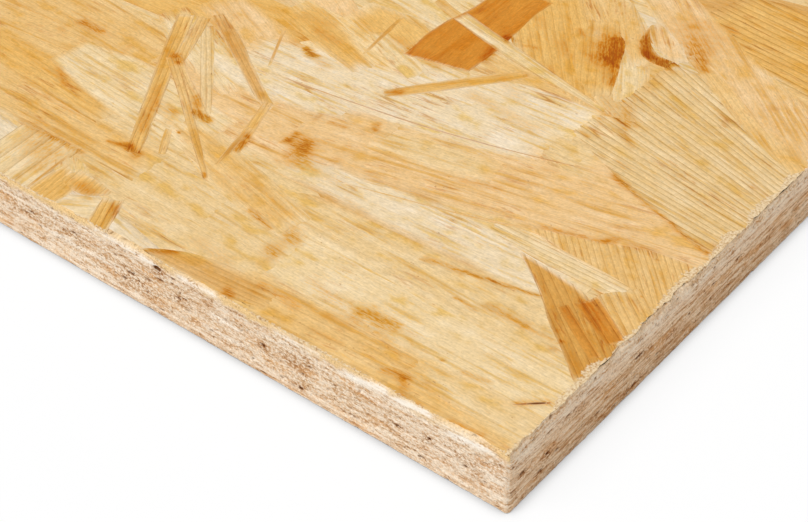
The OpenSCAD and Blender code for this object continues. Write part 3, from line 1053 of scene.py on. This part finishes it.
# fibres at a place: straight along the strand's grain, or turning about the fan's far point
def cornerGrain(one, x, y, index):
    if one["fan"]:
        fx, fy = fromCorner(*one["fan"])
        u = np.hypot(x - fx, y - fy)
        v = cornerLook["fanRadius"] * np.arctan2(y - fy, fx - x)
        return u, v, cornerLook["fanSeed"]
    line = np.array(one["route"], float)
    mx, my = fromCorner(line[:, 0].mean(), line[:, 1].mean())
    g = math.radians(one["grain"])
    u = (x - mx) * math.cos(g) + (y - my) * math.sin(g)
    v = (y - my) * math.cos(g) - (x - mx) * math.sin(g)
    share, apart = cornerLook["seedTurn"]
    return u, v, (index * share) % 1 * apart


# a strand's tint at each place: its own, let through by fill, and fading at the border to what lies under it
def cornerTint(one, x, y, inward, stack):
    own = linear(tones[one["tone"]])
    shown = one["fill"] * (1 - cornerLook["fadeDeep"] * easedStep(-inward, -1.0, 0.0))
    return shown[..., None] * own + (1 - shown[..., None]) * stack.under(x, y)


# all the corner's strands in one mesh, each laid over the ones before it
def cornerMesh(strands, stack, finish):
    laid = []
    for k, one in enumerate(strands):
        x, y, rim, inward = cornerPlan(one, k)
        tint = cornerTint(one, x, y, inward, stack)
        laid.append((one, x, y, rim, tint, stack.layDraped(x, y, tint)))
    topLevel = stack.level.max()
    points = []
    faces = []
    tops = []
    fields = {"grain": [], "figure": [], "tint": [], "stain": [], "worn": [], "rim": []}
    first = 0
    for k, (one, x, y, rim, tint, level) in enumerate(laid):
        z = faceTop - (topLevel - level) * stackLook["step"]
        border, parts = flakeFaces(*x.shape)
        faces += [part + first for part in parts]
        tops += [np.full(len(part), part is parts[0]) for part in parts]
        skirt = np.concatenate([np.arange(x.size), border])
        first += len(skirt)
        x, y, z, rim = [rows.ravel()[skirt] for rows in (x, y, z, rim)]
        z[-len(border):] -= stackLook["flakeThick"]
        u, v, seed = cornerGrain(one, x, y, k)
        same = np.ones_like(x)
        points.append(np.stack([x, y, z], -1))
        fields["grain"].append(np.stack([u, v, same * seed], -1))
        fields["figure"].append(np.stack([same * value for value in (*one["rings"], one["rim"])], -1))
        fields["tint"].append(np.concatenate([tint.reshape(-1, 3)[skirt], same[:, None]], -1))
        fields["stain"].append(stainAt(x, y) * one["soak"])
        fields["worn"].append(wornAt(x, y))
        fields["rim"].append(rim)
    fields = {label: np.concatenate(parts) for label, parts in fields.items()}
    points = np.concatenate(points)
    makePiece("corner_strands", points, faces, fields, flatMap(points, faces, tops), finish)
    return topLevel


topLevel = cornerMesh(cornerStrands, topStrewn["stack"], faceFinish)
layFace(topStrewn, topLevel, False, faceFinish)
layFace(underStrewn, strewnLook["cap"], True, faceFinish)
print("levels:", topLevel, "on the face")

# The sawn edges: a thin band round the sheet, its outer face worked out from the way along and the height.
edgeLook = {
    "cornerRadius": 1.2,
    "nearReach": 232,           # the finely stepped length each way from the near corner
    "nearStep": 0.4,
    "farStep": 4.5,
    "under": 0.12,              # how far below the lowest strand the band stops
    "lip": 0.03,                # height of the band's outer lower arris
    "nearHeights": 60,
    "farHeights": 24,
    "nearRows": 5,              # rows of the band's map
    "farRows": 19,
    "chamfer": (1.4, 2.8),      # height of the broken arris on the long and the short edges
    "depth": 4.0,               # how far in the band's back lies
    "layer": 0.72,              # a strand's thickness after pressing
    "skin": 2.8,                # the face layers' share of the thickness, each side
    "skinEase": 0.8,
    "cornerSteps": 9,
    "longFrom": 0.7,            # share of the outward way along y from which an edge is a long one
    "clear": (0.02, 0.1),       # the outer face keeps this far from the outline and from the band's back
    "backShare": 0.8,           # share of the corner radius that the back keeps at a corner
    "sharpAngle": 60,
    "waves": [(0.5, 31, 5, 12), (0.22, 8.3, 2.4, 13)],      # of the layers: amount, run, rise and seed
    "joints": [(0.12, 5, 0.8, 16)],                         # of the cuts across a layer
    "crumbs": [(0.6, 0.8, 0.6, 19), (0.6, 1.9, 0.9, 20)],
    "torn": [(0.8, 2.4, 3, 33), (0.5, 0.9, 0.7, 34)],       # of the line where the face's tone begins
    "longGrain": 0.4,           # end grain that the skin of a long edge loses
    "shortGrain": (0.5, 0.2, 0.3),      # end grain of a short edge: everywhere, in the skin and near the top
    "nearTop": (14.0, 15.5),
    "lengths": (16, 60, 14),    # of a layer's parts: least, what long grain adds and what chance adds
    "shift": 9,                 # of one layer's parts against the next, in parts
    "relief": {"stand": 0.12, "groove": 0.05, "crumb": 0.03, "endCrumb": 0.09, "hole": 0.6},
    "grooveSharp": 5,
    "arris": (1.7, 0.6),        # how sharply the upper arris turns, and how much relief it loses
    "lowArris": (0.1, 0.8),     # depth and height of the lower one
    "crestFrom": (15.0, 15.2),  # heights between which the face's tone comes in, long and short edges
    "crestFull": (17.0, 17.2),
    "crestShare": (1.0, 0.25),
    "crestLost": 0.8,           # how much of it a pale sliver hides
    "paleTowardsTop": (0.15, 0.6),    # paler towards the top, long and short edges
    "paleTowardsTopHeights": (9.5, 16.0),
    "freshLow": (0.1, 0.0),     # and near the bottom
    "freshLowHeights": (1.5, 5.0),
    "sliverDrawn": 2.5,         # how much further a sliver's end fades than its side
    "layerSeed": 0.13,          # from one layer's grain to the next
    "seeds": (14, 15, 17, 18),  # of a layer's lengths and shift, and of a part's stand and tone
}

# Holes that show at the near corner, dug in and darkened with painted shade: way from the corner in mm (long
# edge minus, short edge plus), height, half length, half height, depth.
edgeHoles = [
    (-104.5, 15.2, 1.6, 0.9, 1.2), (-104, 11.8, 1.6, 0.45, 0.7), (-117, 5.6, 1.0, 0.6, 0.7),
    (-114, 8.6, 1.4, 0.5, 0.6), (-108, 9.6, 1.4, 0.5, 0.5), (-134, 11.4, 1.4, 0.5, 0.6),
    (-70.5, 9.6, 1.3, 0.5, 0.8), (-59, 2.4, 1.0, 0.5, 0.7), (-56, 10.8, 0.9, 0.5, 0.7),
    (-30, 8.1, 1.2, 0.4, 0.8), (-21, 9.6, 0.7, 0.5, 0.7), (-43, 3.2, 2.0, 0.35, 0.5),
    (-98, 9.2, 1.3, 0.5, 0.6), (-150, 10.2, 1.3, 0.5, 0.6), (52.5, 10.4, 2.6, 0.45, 1.0),
    (23, 13.6, 1.6, 0.4, 0.8), (86, 10.0, 1.1, 0.4, 0.8), (74.5, 8.0, 0.8, 0.5, 0.9),
    (97, 10.8, 2.2, 0.4, 0.7), (36, 4.6, 1.9, 0.4, 0.6), (85, 15.4, 0.8, 0.4, 0.7),
    (15, 7.8, 1.1, 0.6, 0.6), (12.5, 4.4, 1.4, 0.5, 0.6), (51, 1.9, 1.8, 0.4, 0.5),
]

# Pale slivers of fresh wood there: from way and height to way and height, half thickness, strength.
edgeSlivers = [
    (-14, 14.9, -5, 16.2, 1.0, 1.0), (-19, 16.4, -7, 17.2, 0.9, 0.6), (-29, 16.3, -22, 16.9, 1.1, 1.0),
    (-43, 15.4, -35, 16.6, 1.1, 0.95), (-66, 16.4, -54, 16.6, 0.9, 0.7), (-125, 16.8, -106, 16.2, 1.0, 0.8),
    (-97, 16.6, -86, 16.8, 0.9, 0.8), (-150, 7.6, -118, 7.4, 0.5, 0.5), (-90, 5.4, -78, 5.2, 0.5, 0.6),
    (-86, 10.2, -79, 9.8, 0.6, 0.6), (-42, 12.4, -34, 12.0, 0.5, 0.5), (4, 13.2, 11, 13.2, 0.7, 0.7),
    (39, 16.0, 46, 16.0, 0.7, 0.6), (19, 9.2, 36, 9.0, 0.4, 0.5), (12, 15.6, 34, 16.4, 1.0, 0.4),
    (60, 15.6, 76, 16.2, 0.8, 0.4), (-18, 8, -3, 8, 5.0, 0.25),
]

# Brown patches there: way, height, half length, half height, strength.
edgeBruises = [
    (-61, 9.5, 3.5, 1.6, 0.8), (-70.5, 9.5, 2.2, 1.0, 0.8), (-58, 12.0, 4.0, 0.9, 0.5),
    (-59, 2.6, 1.8, 1.0, 0.8), (-30, 8.2, 2.0, 0.7, 0.8), (-21, 9.6, 1.4, 0.9, 0.7),
    (-12, 9.5, 3.0, 1.2, 0.6), (-43, 3.4, 4.0, 0.6, 0.5), (-113, 7.0, 6.0, 2.6, 0.7),
    (-104, 14.5, 2.4, 1.6, 0.8), (-97, 9.2, 4.0, 1.2, 0.5), (-134, 11, 5.0, 1.2, 0.5),
    (-3, 13.0, 2.0, 1.6, 0.5), (-150, 9.6, 5.0, 1.2, 0.5), (-84, 3.0, 4.0, 0.8, 0.4),
    (15, 7.4, 2.6, 1.6, 0.9), (6.5, 8.6, 3.0, 1.6, 0.6), (12.5, 4.2, 2.4, 1.2, 0.7),
    (34, 4.6, 4.0, 1.0, 0.6), (53, 10.2, 4.0, 1.0, 0.6), (23, 13.4, 2.4, 0.9, 0.6),
    (67, 7.0, 4.0, 1.8, 0.6), (80, 11.5, 3.0, 1.0, 0.5), (97, 10.6, 4.0, 1.2, 0.6),
    (50, 2.2, 4.0, 0.9, 0.5), (88, 5.0, 5.0, 1.2, 0.4), (110, 8.0, 5.0, 1.4, 0.5),
]


# how brown a place is: the strongest of the patches, each falling to half at its own ellipse
def bruiseAt(w, z):
    brown = np.zeros_like(w)
    for way, height, halfLength, halfHeight, strength in edgeBruises:
        away = ((w - way) / halfLength) ** 2 + ((z - height) / halfHeight) ** 2
        brown = np.maximum(brown, strength * np.exp2(-away))
    return brown


# how pale a place is: each sliver falls to half at its half thickness from its own line
def sliverAt(w, z):
    pale = np.zeros_like(w)
    for w0, z0, w1, z1, half, strength in edgeSlivers:
        t = np.clip((w - w0) / (w1 - w0), 0, 1)
        away = np.hypot((w - w0 - t * (w1 - w0)) / edgeLook["sliverDrawn"], z - z0 - t * (z1 - z0))
        pale = np.maximum(pale, strength * np.exp2(-(away / half) ** 2))
    return pale


# the sheet's rounded rectangle from above, anticlockwise from the near corner: way, x, y and outward angle
def outlineKnots():
    r = edgeLook["cornerRadius"]
    steps = edgeLook["cornerSteps"]
    turn = np.linspace(0, math.pi / 2, steps)
    middles = [(rightSide - r, nearSide + r), (rightSide - r, farSide - r),
               (leftSide + r, farSide - r), (leftSide + r, nearSide + r)]
    angle = np.concatenate([turn + (k - 1) * math.pi / 2 for k in range(4)])
    mx, my = np.repeat(np.array(middles), steps, 0).T
    x = mx + r * np.cos(angle)
    y = my + r * np.sin(angle)
    x, y, angle = [np.append(row, row[0]) for row in (x, y, angle)]
    angle[-1] += 2 * math.pi
    legs = np.hypot(np.diff(x), np.diff(y))
    return np.concatenate([[0], np.cumsum(legs)]), x, y, angle


# value of one hole for each place: 1 in its middle, falling by the square to 0 on an ellipse
def holeAt(way, height, halfLength, halfHeight, w, z):
    return np.clip(1 - ((w - way) / halfLength) ** 2 - ((z - height) / halfHeight) ** 2, 0, 1)


# Holes strewn by chance, in a lattice of way and height.
holeLook = {
    "cell": (5.0, 1.5),
    "chance": (0.10, 0.25),             # in long grain, and what end grain adds
    "halfLength": (0.4, 0.9, 1.6),      # least, what chance adds and what long grain adds
    "halfHeight": (0.2, 0.25),          # least, and what chance adds
    "deep": (0.3, 0.5),
    "seeds": (21, 22, 23, 24, 25, 26, 30),
}


# every lattice cell may hold one hole, and a place looks in its own cell and the eight round it
def strewnHoles(w, z, endGrain):
    look = holeLook
    cellLength, cellHeight = look["cell"]
    shortest, longer, drawn = look["halfLength"]
    lowest, higher = look["halfHeight"]
    i = np.floor(w / cellLength)
    j = np.floor(z / cellHeight)
    most = np.zeros_like(w)
    for di in (-1, 0, 1):
        for dj in (-1, 0, 1):
            m, n = i + di, j + dj
            draws = [scatter(m, n, seed) for seed in look["seeds"]]
            way = (m + draws[0]) * cellLength
            height = (n + draws[1]) * cellHeight
            there = draws[2] < look["chance"][0] + look["chance"][1] * endGrain
            halfLength = shortest + longer * draws[3] ** 2 + drawn * (1 - endGrain) * draws[4]
            halfHeight = lowest + higher * draws[5]
            deep = there * (look["deep"][0] + look["deep"][1] * draws[6])
            most = np.maximum(most, deep * holeAt(way, height, halfLength, halfHeight, w, z))
    return most


# Relief of a sawn edge: strands lie in wavy layers, each layer cut into lengths that stand in or out by
# chance, with a groove between layers, fine crumbs, and holes. End grain shows where strands run across it.
def sawnRelief(w, z, isLong, back):
    look = edgeLook
    lengthSeed, shiftSeed, standSeed, toneSeed = look["seeds"]

    # the first of a pair on the long edges, the second on the short ones
    def bySide(pair):
        return np.where(isLong, *pair)

    high = z.max()
    low = z.min()
    wavy = rippled(z, look["waves"], w, z)
    layer = np.floor(wavy / look["layer"])
    middle = (layer + 0.5) * look["layer"]
    skin = easedStep(look["skin"] - np.minimum(middle, faceTop - middle), -look["skinEase"], look["skinEase"])
    always, inSkin, top = look["shortGrain"]
    endGrain = bySide([1 - look["longGrain"] * skin,
                       always + inSkin * skin + top * easedStep(z, *look["nearTop"])])
    least, longer, chance = look["lengths"]
    length = least + longer * (1 - endGrain) + chance * scatter(layer, 0, lengthSeed)
    part = np.floor(rippled(w / length + look["shift"] * scatter(layer, 1, shiftSeed), look["joints"], w, z))
    stand = scatter(layer, part, standSeed)
    tone = scatter(layer, part, toneSeed)
    groove = np.abs(2 * (wavy / look["layer"] - layer) - 1) ** look["grooveSharp"]
    crumbs = rippled(0, look["crumbs"], w, z)
    hole = strewnHoles(w, z, endGrain)
    for way, height, halfLength, halfHeight, deep in edgeHoles:
        hole = np.maximum(hole, deep * holeAt(way, height, halfLength, halfHeight, w, z))
    chamfer = bySide(look["chamfer"])
    sharp, smoothed = look["arris"]
    lowDeep, lowHigh = look["lowArris"]
    turned = np.clip((z - high + chamfer) / chamfer, 0, 1) ** sharp
    arris = turned + lowDeep * easedStep(-z, -low - lowHigh, -low)
    share = look["relief"]
    depth = share["stand"] * stand + share["groove"] * groove
    depth = depth + (share["crumb"] + share["endCrumb"] * endGrain) * (crumbs + 1) + share["hole"] * hole
    depth = depth * (1 - smoothed * arris) + arris * back
    sliver = sliverAt(w, z)
    lowest, freshTo = look["freshLowHeights"]
    pale = np.maximum(sliver, bySide(look["paleTowardsTop"]) * easedStep(z, *look["paleTowardsTopHeights"]))
    pale = np.maximum(pale, bySide(look["freshLow"]) * easedStep(-z, -freshTo, -lowest))
    ragged = rippled(0, look["torn"], w, z)
    crest = easedStep(z + ragged, bySide(look["crestFrom"]), bySide(look["crestFull"]))
    crest = crest * (1 - look["crestLost"] * sliver) * bySide(look["crestShare"])
    return {"depth": depth, "hole": hole, "tone": tone, "endGrain": endGrain, "wavy": wavy, "groove": groove,
            "layer": layer, "pale": pale, "bruise": bruiseAt(w, z), "crest": crest,
            "side": bySide((0.0, 1.0)) + 0 * w}


# how far in the band's back lies: its full depth on the straights, less at the corners so that it never folds
def edgeBack(x, y):
    fromEnd = np.maximum(np.minimum(x - leftSide, rightSide - x), np.minimum(y - nearSide, farSide - y))
    r = edgeLook["cornerRadius"]
    return np.clip(edgeLook["backShare"] * r + np.maximum(fromEnd - r, 0), 0, edgeLook["depth"])


edgeFields = ("tone", "hole", "endGrain", "groove", "pale", "bruise", "crest", "side")


# a band along the outline between two ways: place = outline(way) - depth(way, height) * outward, and its back
# stands upright from the low height
def edgeBand(name, ways, heights, low, rows, finish):
    knot, kx, ky, kAngle = outlineKnots()
    around = knot[-1]
    w = np.mod(ways, around)
    angle = np.interp(w, knot, kAngle)
    x = np.interp(w, knot, kx)
    y = np.interp(w, knot, ky)
    nx, ny = np.cos(angle), np.sin(angle)
    isLong = (np.abs(ny) > edgeLook["longFrom"])[:, None]
    z = np.broadcast_to(heights[None], (len(ways), len(heights)))
    wide = np.broadcast_to(ways[:, None], z.shape)
    setBack = np.where(isLong[:, 0], arrisBack(rightSide - x, "long"), arrisBack(y - nearSide, "short"))
    relief = sawnRelief(wide, z, isLong, setBack[:, None])
    inner = edgeBack(x, y)[:, None]
    depth = np.clip(relief["depth"], edgeLook["clear"][0], inner - edgeLook["clear"][1])
    depth = np.concatenate([depth, inner, inner], 1)
    z = np.concatenate([z, z[:, -1:], np.full((len(ways), 1), low)], 1)
    px = x[:, None] - depth * nx[:, None]
    py = y[:, None] - depth * ny[:, None]
    points = np.stack([px, py, z], -1).reshape(-1, 3)

    # the band's back takes the values of the row that it closes on
    def onBand(values):
        return np.concatenate([values, values[:, -1:], values[:, :1]], 1).ravel()

    grain = (wide, relief["wavy"], relief["layer"] * edgeLook["layerSeed"])
    fields = {"grain": np.stack([onBand(values) for values in grain], -1)}
    fields.update({label: onBand(relief[label]) for label in edgeFields})
    shape = (len(ways), len(heights) + 2)
    spread = foldedMap(*shape, rows)
    return makePiece(name, points, sweptFaces(*shape), fields, spread, finish, edgeLook["sharpAngle"])


edgeFinishLook = {
    "middle": (232, 205, 174),
    "pale": (246, 229, 206),
    "dull": (221, 190, 154),
    "white": (251, 240, 224),
    "crest": (233, 198, 142),
    "sideGain": (1.10, 1.01, 0.91),   # the short sides' own tone against the long ones', as linear light
    "crumbFilter": (220, 193, 160),
    "speckFilter": (148, 120, 88),
    "bruiseFilter": (206, 164, 104),
    # painted shade in the holes, which also deepens the brown patches
    "holeShadeAndStainFilter": (128, 94, 60),
    "grooveFilter": (212, 184, 150),
    "warmFilter": (248, 228, 200),
    "grit": 0.8,                      # share of light that the torn fibres take
    "specular": 0.05,
    "roughness": 0.75,
    "bumpDepth": 0.35,
    "bumpStrength": 0.7,
    "noise": {                        # scales along and up, share and shift of the seed, and detail
        "crumb": (1.2, 2.0, 1.0, 0.0, 4.0),
        "speck": (1.6, 3.2, 1.0, 5.0, 3.0),
        "streak": (0.11, 1.8, 1.0, 0.0, 5.0),
        "cloud": (0.09, 0.28, 0.0, 3.0, 2.0),
        "patch": (0.2, 0.75, 0.0, 12.0, 3.0),
        "grit": (1.8, 2.2, 0.0, 8.0, 2.0),
    },
    "levels": {                       # where each mask leaves 0 and where it reaches 1
        "middle": (0.0, 0.7),
        "pale": (0.6, 1.0),
        "warm": (0.48, 0.72),
        "bright": (0.50, 0.61),
        "clustered": (0.56, 0.40),
        "crumbly": (0.49, 0.36),
        "fresh": (0.28, 0.46),
        "streaky": (0.49, 0.38),
        "speckled": (0.43, 0.31),
        "grooved": (0.58, 0.42),
        "stained": (0.62, 0.38),
        "holeShadeAndStain": (0.0, 0.8),
        "fibrous": (0.58, 1.0),
    },
}


# Sawn wood: each strand's own tone, crumbs and specks where fibres end in the cut, drawn-out streaks where
# they lie along it, painted shade in the holes and brown in the patches, slivers of fresh wood, a paler tone
# towards the top, and the face's tone on the arris.
def edgeFinish(look):
    f = Finish(bpy.data.materials.new("sawn_edge"))
    w, z, seed = f.parts(f.attribute("grain", "Vector"))
    tone, hole, endGrain, groove, fresh, bruise, crest, side = [f.attribute(name) for name in edgeFields]
    names = ("crumb", "speck", "streak", "cloud", "patch", "grit")
    crumb, speck, streak, cloud, patch, grit = [f.noise(look["noise"][name], w, z, seed) for name in names]

    # the look's own masks and colours, by name
    def mask(name, value):
        return f.between(value, *look["levels"][name])

    def shade(name):
        return linearColour(look[name])

    grainy = crumb * endGrain + streak * (1.0 - endGrain) + 0.6 * (patch - 0.5)
    colour = f.mixed(shade("dull"), mask("middle", tone), shade("middle"))
    colour = f.mixed(colour, mask("pale", tone) * 0.7, shade("pale"))
    colour = f.tinted(colour, mask("warm", cloud), shade("warmFilter"))
    colour = f.mixed(colour, mask("bright", grainy) * 0.7, shade("pale"))
    clustered = mask("clustered", patch + 0.4 * (cloud - 0.5))
    crumbly = mask("crumbly", grainy) * (0.4 + 0.6 * clustered)
    colour = f.tinted(colour, crumbly * 0.85, shade("crumbFilter"))
    colour = f.mixed(colour, fresh * mask("fresh", grainy), shade("white"))
    colour = f.tinted(colour, side * mask("streaky", streak) * 0.4, shade("grooveFilter"))
    colour = f.mixed(colour, crest, shade("crest"))
    colour = f.tinted(colour, side, look["sideGain"] + (1.0,))
    colour = f.scaled(colour, 1.0 + look["grit"] * (grit - 0.5))
    speckled = mask("speckled", speck) * (0.12 + 0.88 * clustered) * (1.0 - 0.8 * fresh)
    colour = f.tinted(colour, speckled, shade("speckFilter"))
    colour = f.tinted(colour, groove * mask("grooved", streak) * 0.5, shade("grooveFilter"))
    stained = bruise * mask("stained", crumb + 0.4 * (speck - 0.5))
    colour = f.tinted(colour, stained, shade("bruiseFilter"))
    # painted shade in the holes, and deeper brown in the patches
    colour = f.tinted(colour, mask("holeShadeAndStain", hole + 0.35 * stained), shade("holeShadeAndStainFilter"))
    fibrous = fresh + 0.9 * (streak - 0.5) + 0.5 * (crumb - 0.5)
    colour = f.mixed(colour, mask("fibrous", fibrous) * 0.85, shade("white"))
    height = grainy + 0.3 * speck
    return f.surface(colour, look["roughness"], height, look)


sawnFinish = edgeFinish(edgeFinishLook)
around = outlineKnots()[0][-1]
reach = edgeLook["nearReach"]
nearWays = np.arange(-reach, reach + edgeLook["nearStep"], edgeLook["nearStep"])
farCount = int((around - 2 * reach) / edgeLook["farStep"])
farWays = np.linspace(nearWays[-1], around + nearWays[0], farCount)
bandLow = strewnLook["cap"] * stackLook["step"] + edgeLook["under"]
bandHigh = faceTop - topLevel * stackLook["step"] - edgeLook["under"]
nearHeights = np.linspace(edgeLook["lip"], bandHigh, edgeLook["nearHeights"])
farHeights = np.linspace(edgeLook["lip"], bandHigh, edgeLook["farHeights"])
edgeBand("sawn_edge_near", nearWays, nearHeights, bandLow, edgeLook["nearRows"], sawnFinish)
edgeBand("sawn_edge_far", farWays, farHeights, bandLow, edgeLook["farRows"], sawnFinish)
print("edges: done")

# The pressed middle that shows only between strands: a closed slab with a gently uneven top and underside.
coreLook = {
    "inset": 3.0,
    "below": 0.02,
    "columns": 123,
    "rows": 62,
    "swell": [(0.015, 60, 40, 31)],     # amount, run along and across the sheet, and seed
    "tone": "wheat",
    "figure": (4.0, 0.4, 0.0),          # ring gap, and how strongly rings and rims show
    "grainSeed": 0.5,
}


# profile of the slab carried along the sheet: the top row from near to far, then the underside back
def coreSlab(look, finish):
    x = np.linspace(leftSide + look["inset"], rightSide - look["inset"], look["columns"])[:, None]
    y = np.linspace(nearSide + look["inset"], farSide - look["inset"], look["rows"])[None]
    swell = rippled(0, look["swell"], x + 0 * y, y + 0 * x)
    top = faceTop - topLevel * stackLook["step"] - look["below"] + swell
    low = strewnLook["cap"] * stackLook["step"] + look["below"] - swell[:, ::-1]
    px = np.broadcast_to(x, (look["columns"], 2 * look["rows"]))
    py = np.broadcast_to(np.concatenate([y, y[:, ::-1]], 1), px.shape)
    points = np.stack([px, py, np.concatenate([top, low], 1)], -1).reshape(-1, 3)
    same = np.ones(len(points))
    tint = linear(tones[look["tone"]])
    fields = {
        "grain": np.stack([px.ravel(), py.ravel(), same * look["grainSeed"]], -1),
        "figure": np.stack([same * value for value in look["figure"]], -1),
        "tint": np.concatenate([same[:, None] * tint, same[:, None]], -1),
        "stain": same * 0,
        "worn": same * 0,
        "rim": same * 0,
    }
    return makePiece("board_core", points, sweptFaces(*px.shape), fields, foldedMap(*px.shape, 1), finish)


core = coreSlab(coreLook, faceFinish)
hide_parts("osb_sheet")

# Floor, light and camera.
floorLook = {
    "half": 40.0,
    "below": 0.0001,
    "albedo": 0.82,
    "ownWhite": 0.9,            # share of its own white in what is seen of it
    "contactShade": 0.38,            # painted contact shadow: how much of the white goes where the sheet shuts the floor in
    "contactReach": 0.0038,
    "contactSamples": 8,
}
lightLook = {
    "world": 0.5,
    "sun": 2.0,
    "towards": (-0.20, -0.36, 0.50),
    "softness": 28,             # degrees across the sun
}
plainWhite = (1, 1, 1, 1)


# 1 for rays that see the background itself: from the camera, in gloss, or through glass
def seenDirectly(f):
    rays = f.add("ShaderNodeLightPath").socket.node.outputs
    seen = Wire(f.tree, rays["Is Camera Ray"])
    seen = seen.maths("MAXIMUM", seen, Wire(f.tree, rays["Is Glossy Ray"]))
    return seen.maths("MAXIMUM", seen, Wire(f.tree, rays["Is Transmission Ray"]))


# The floor: a square of twice the half size. Light meets a pale matt ground, and what sees it directly meets
# a mix of matt white and its own white, which loses the contact share times (twice the shut share) ^ 2 beside
# the sheet: a painted contact shadow.
def makeFloor(look):
    f = Finish(bpy.data.materials.new("pale_floor"))
    shade = f.add("ShaderNodeBsdfDiffuse", {}, {"Color": (look["albedo"],) * 3 + (1,)})
    bright = f.add("ShaderNodeBsdfDiffuse", {}, {"Color": plainWhite})
    # painted contact shadow: the floor's own white darkens where the sheet shuts it in
    near = {"Distance": look["contactReach"]}
    clear = f.add("ShaderNodeAmbientOcclusion", {"samples": look["contactSamples"]}, near, "AO")
    shut = 2.0 * (1.0 - clear)
    shadowedGlow = f.scaled((1, 1, 1), 1.0 - look["contactShade"] * shut * shut)
    white = f.add("ShaderNodeEmission", {}, {"Color": shadowedGlow, "Strength": 1.0})
    shown = f.add("ShaderNodeMixShader", {}, {0: look["ownWhite"], 1: bright, 2: white})
    both = f.add("ShaderNodeMixShader", {}, {0: seenDirectly(f), 1: shade, 2: shown})
    f.add("ShaderNodeOutputMaterial", {}, {"Surface": both})
    h = look["half"]
    z = -look["below"]
    mesh = bpy.data.meshes.new("floor")
    mesh.from_pydata([(-h, -h, z), (h, -h, z), (h, h, z), (-h, h, z)], [], [(0, 1, 2, 3)])
    mesh.materials.append(f.owner)
    floor = bpy.data.objects.new("floor", mesh)
    bpy.context.scene.collection.objects.link(floor)


# Light: an even white world, plain white where it is seen directly, and one broad sun towards a direction.
def makeLight(look):
    world = bpy.data.worlds.new("studio")
    bpy.context.scene.world = world
    f = Finish(world)
    lit = f.add("ShaderNodeBackground", {}, {"Color": plainWhite, "Strength": look["world"]})
    white = f.add("ShaderNodeBackground", {}, {"Color": plainWhite, "Strength": 1.0})
    both = f.add("ShaderNodeMixShader", {}, {0: seenDirectly(f), 1: lit, 2: white})
    f.add("ShaderNodeOutputWorld", {}, {"Surface": both})
    lamp = bpy.data.lights.new("key", "SUN")
    lamp.energy = look["sun"]
    lamp.angle = math.radians(look["softness"])
    key = bpy.data.objects.new("key", lamp)
    key.rotation_euler = directionTo(look["towards"])
    bpy.context.scene.collection.objects.link(key)


# the turn that points an object's own +Z along a direction, with its X level
def directionTo(way):
    return Vector(way).to_track_quat("Z", "Y").to_euler()


cameraLook = {
    "azimuth": 38.5676,
    "elevation": 39.7211,
    "eye": (148.942, -223.3605, 294.7361),   # mm from the near bottom corner
    "focal": 1800.0,                          # in pixels of a picture 808 wide
    "pictureWidth": 808.0,
    "sensor": 36.0,
    "clip": (0.01, 200.0),
}


# The camera: lens = focal * sensor / picture width, turned by its azimuth and elevation, at the eye.
def makeCamera(look):
    lens = bpy.data.cameras.new("camera")
    lens.sensor_width = look["sensor"]
    lens.lens = look["focal"] * lens.sensor_width / look["pictureWidth"]
    lens.clip_start, lens.clip_end = look["clip"]
    camera = bpy.data.objects.new("camera", lens)
    a = math.radians(look["azimuth"])
    e = math.radians(look["elevation"])
    camera.rotation_euler = directionTo((math.sin(a) * math.cos(e), -math.cos(a) * math.cos(e), math.sin(e)))
    ex, ey, ez = look["eye"]
    camera.location = ((rightSide + ex) * mm, (nearSide + ey) * mm, ez * mm)
    bpy.context.scene.collection.objects.link(camera)
    bpy.context.scene.camera = camera


makeFloor(floorLook)
makeLight(lightLook)
makeCamera(cameraLook)
bpy.context.scene.view_settings.view_transform = "Standard"
print("scene: floor, light and camera are set")
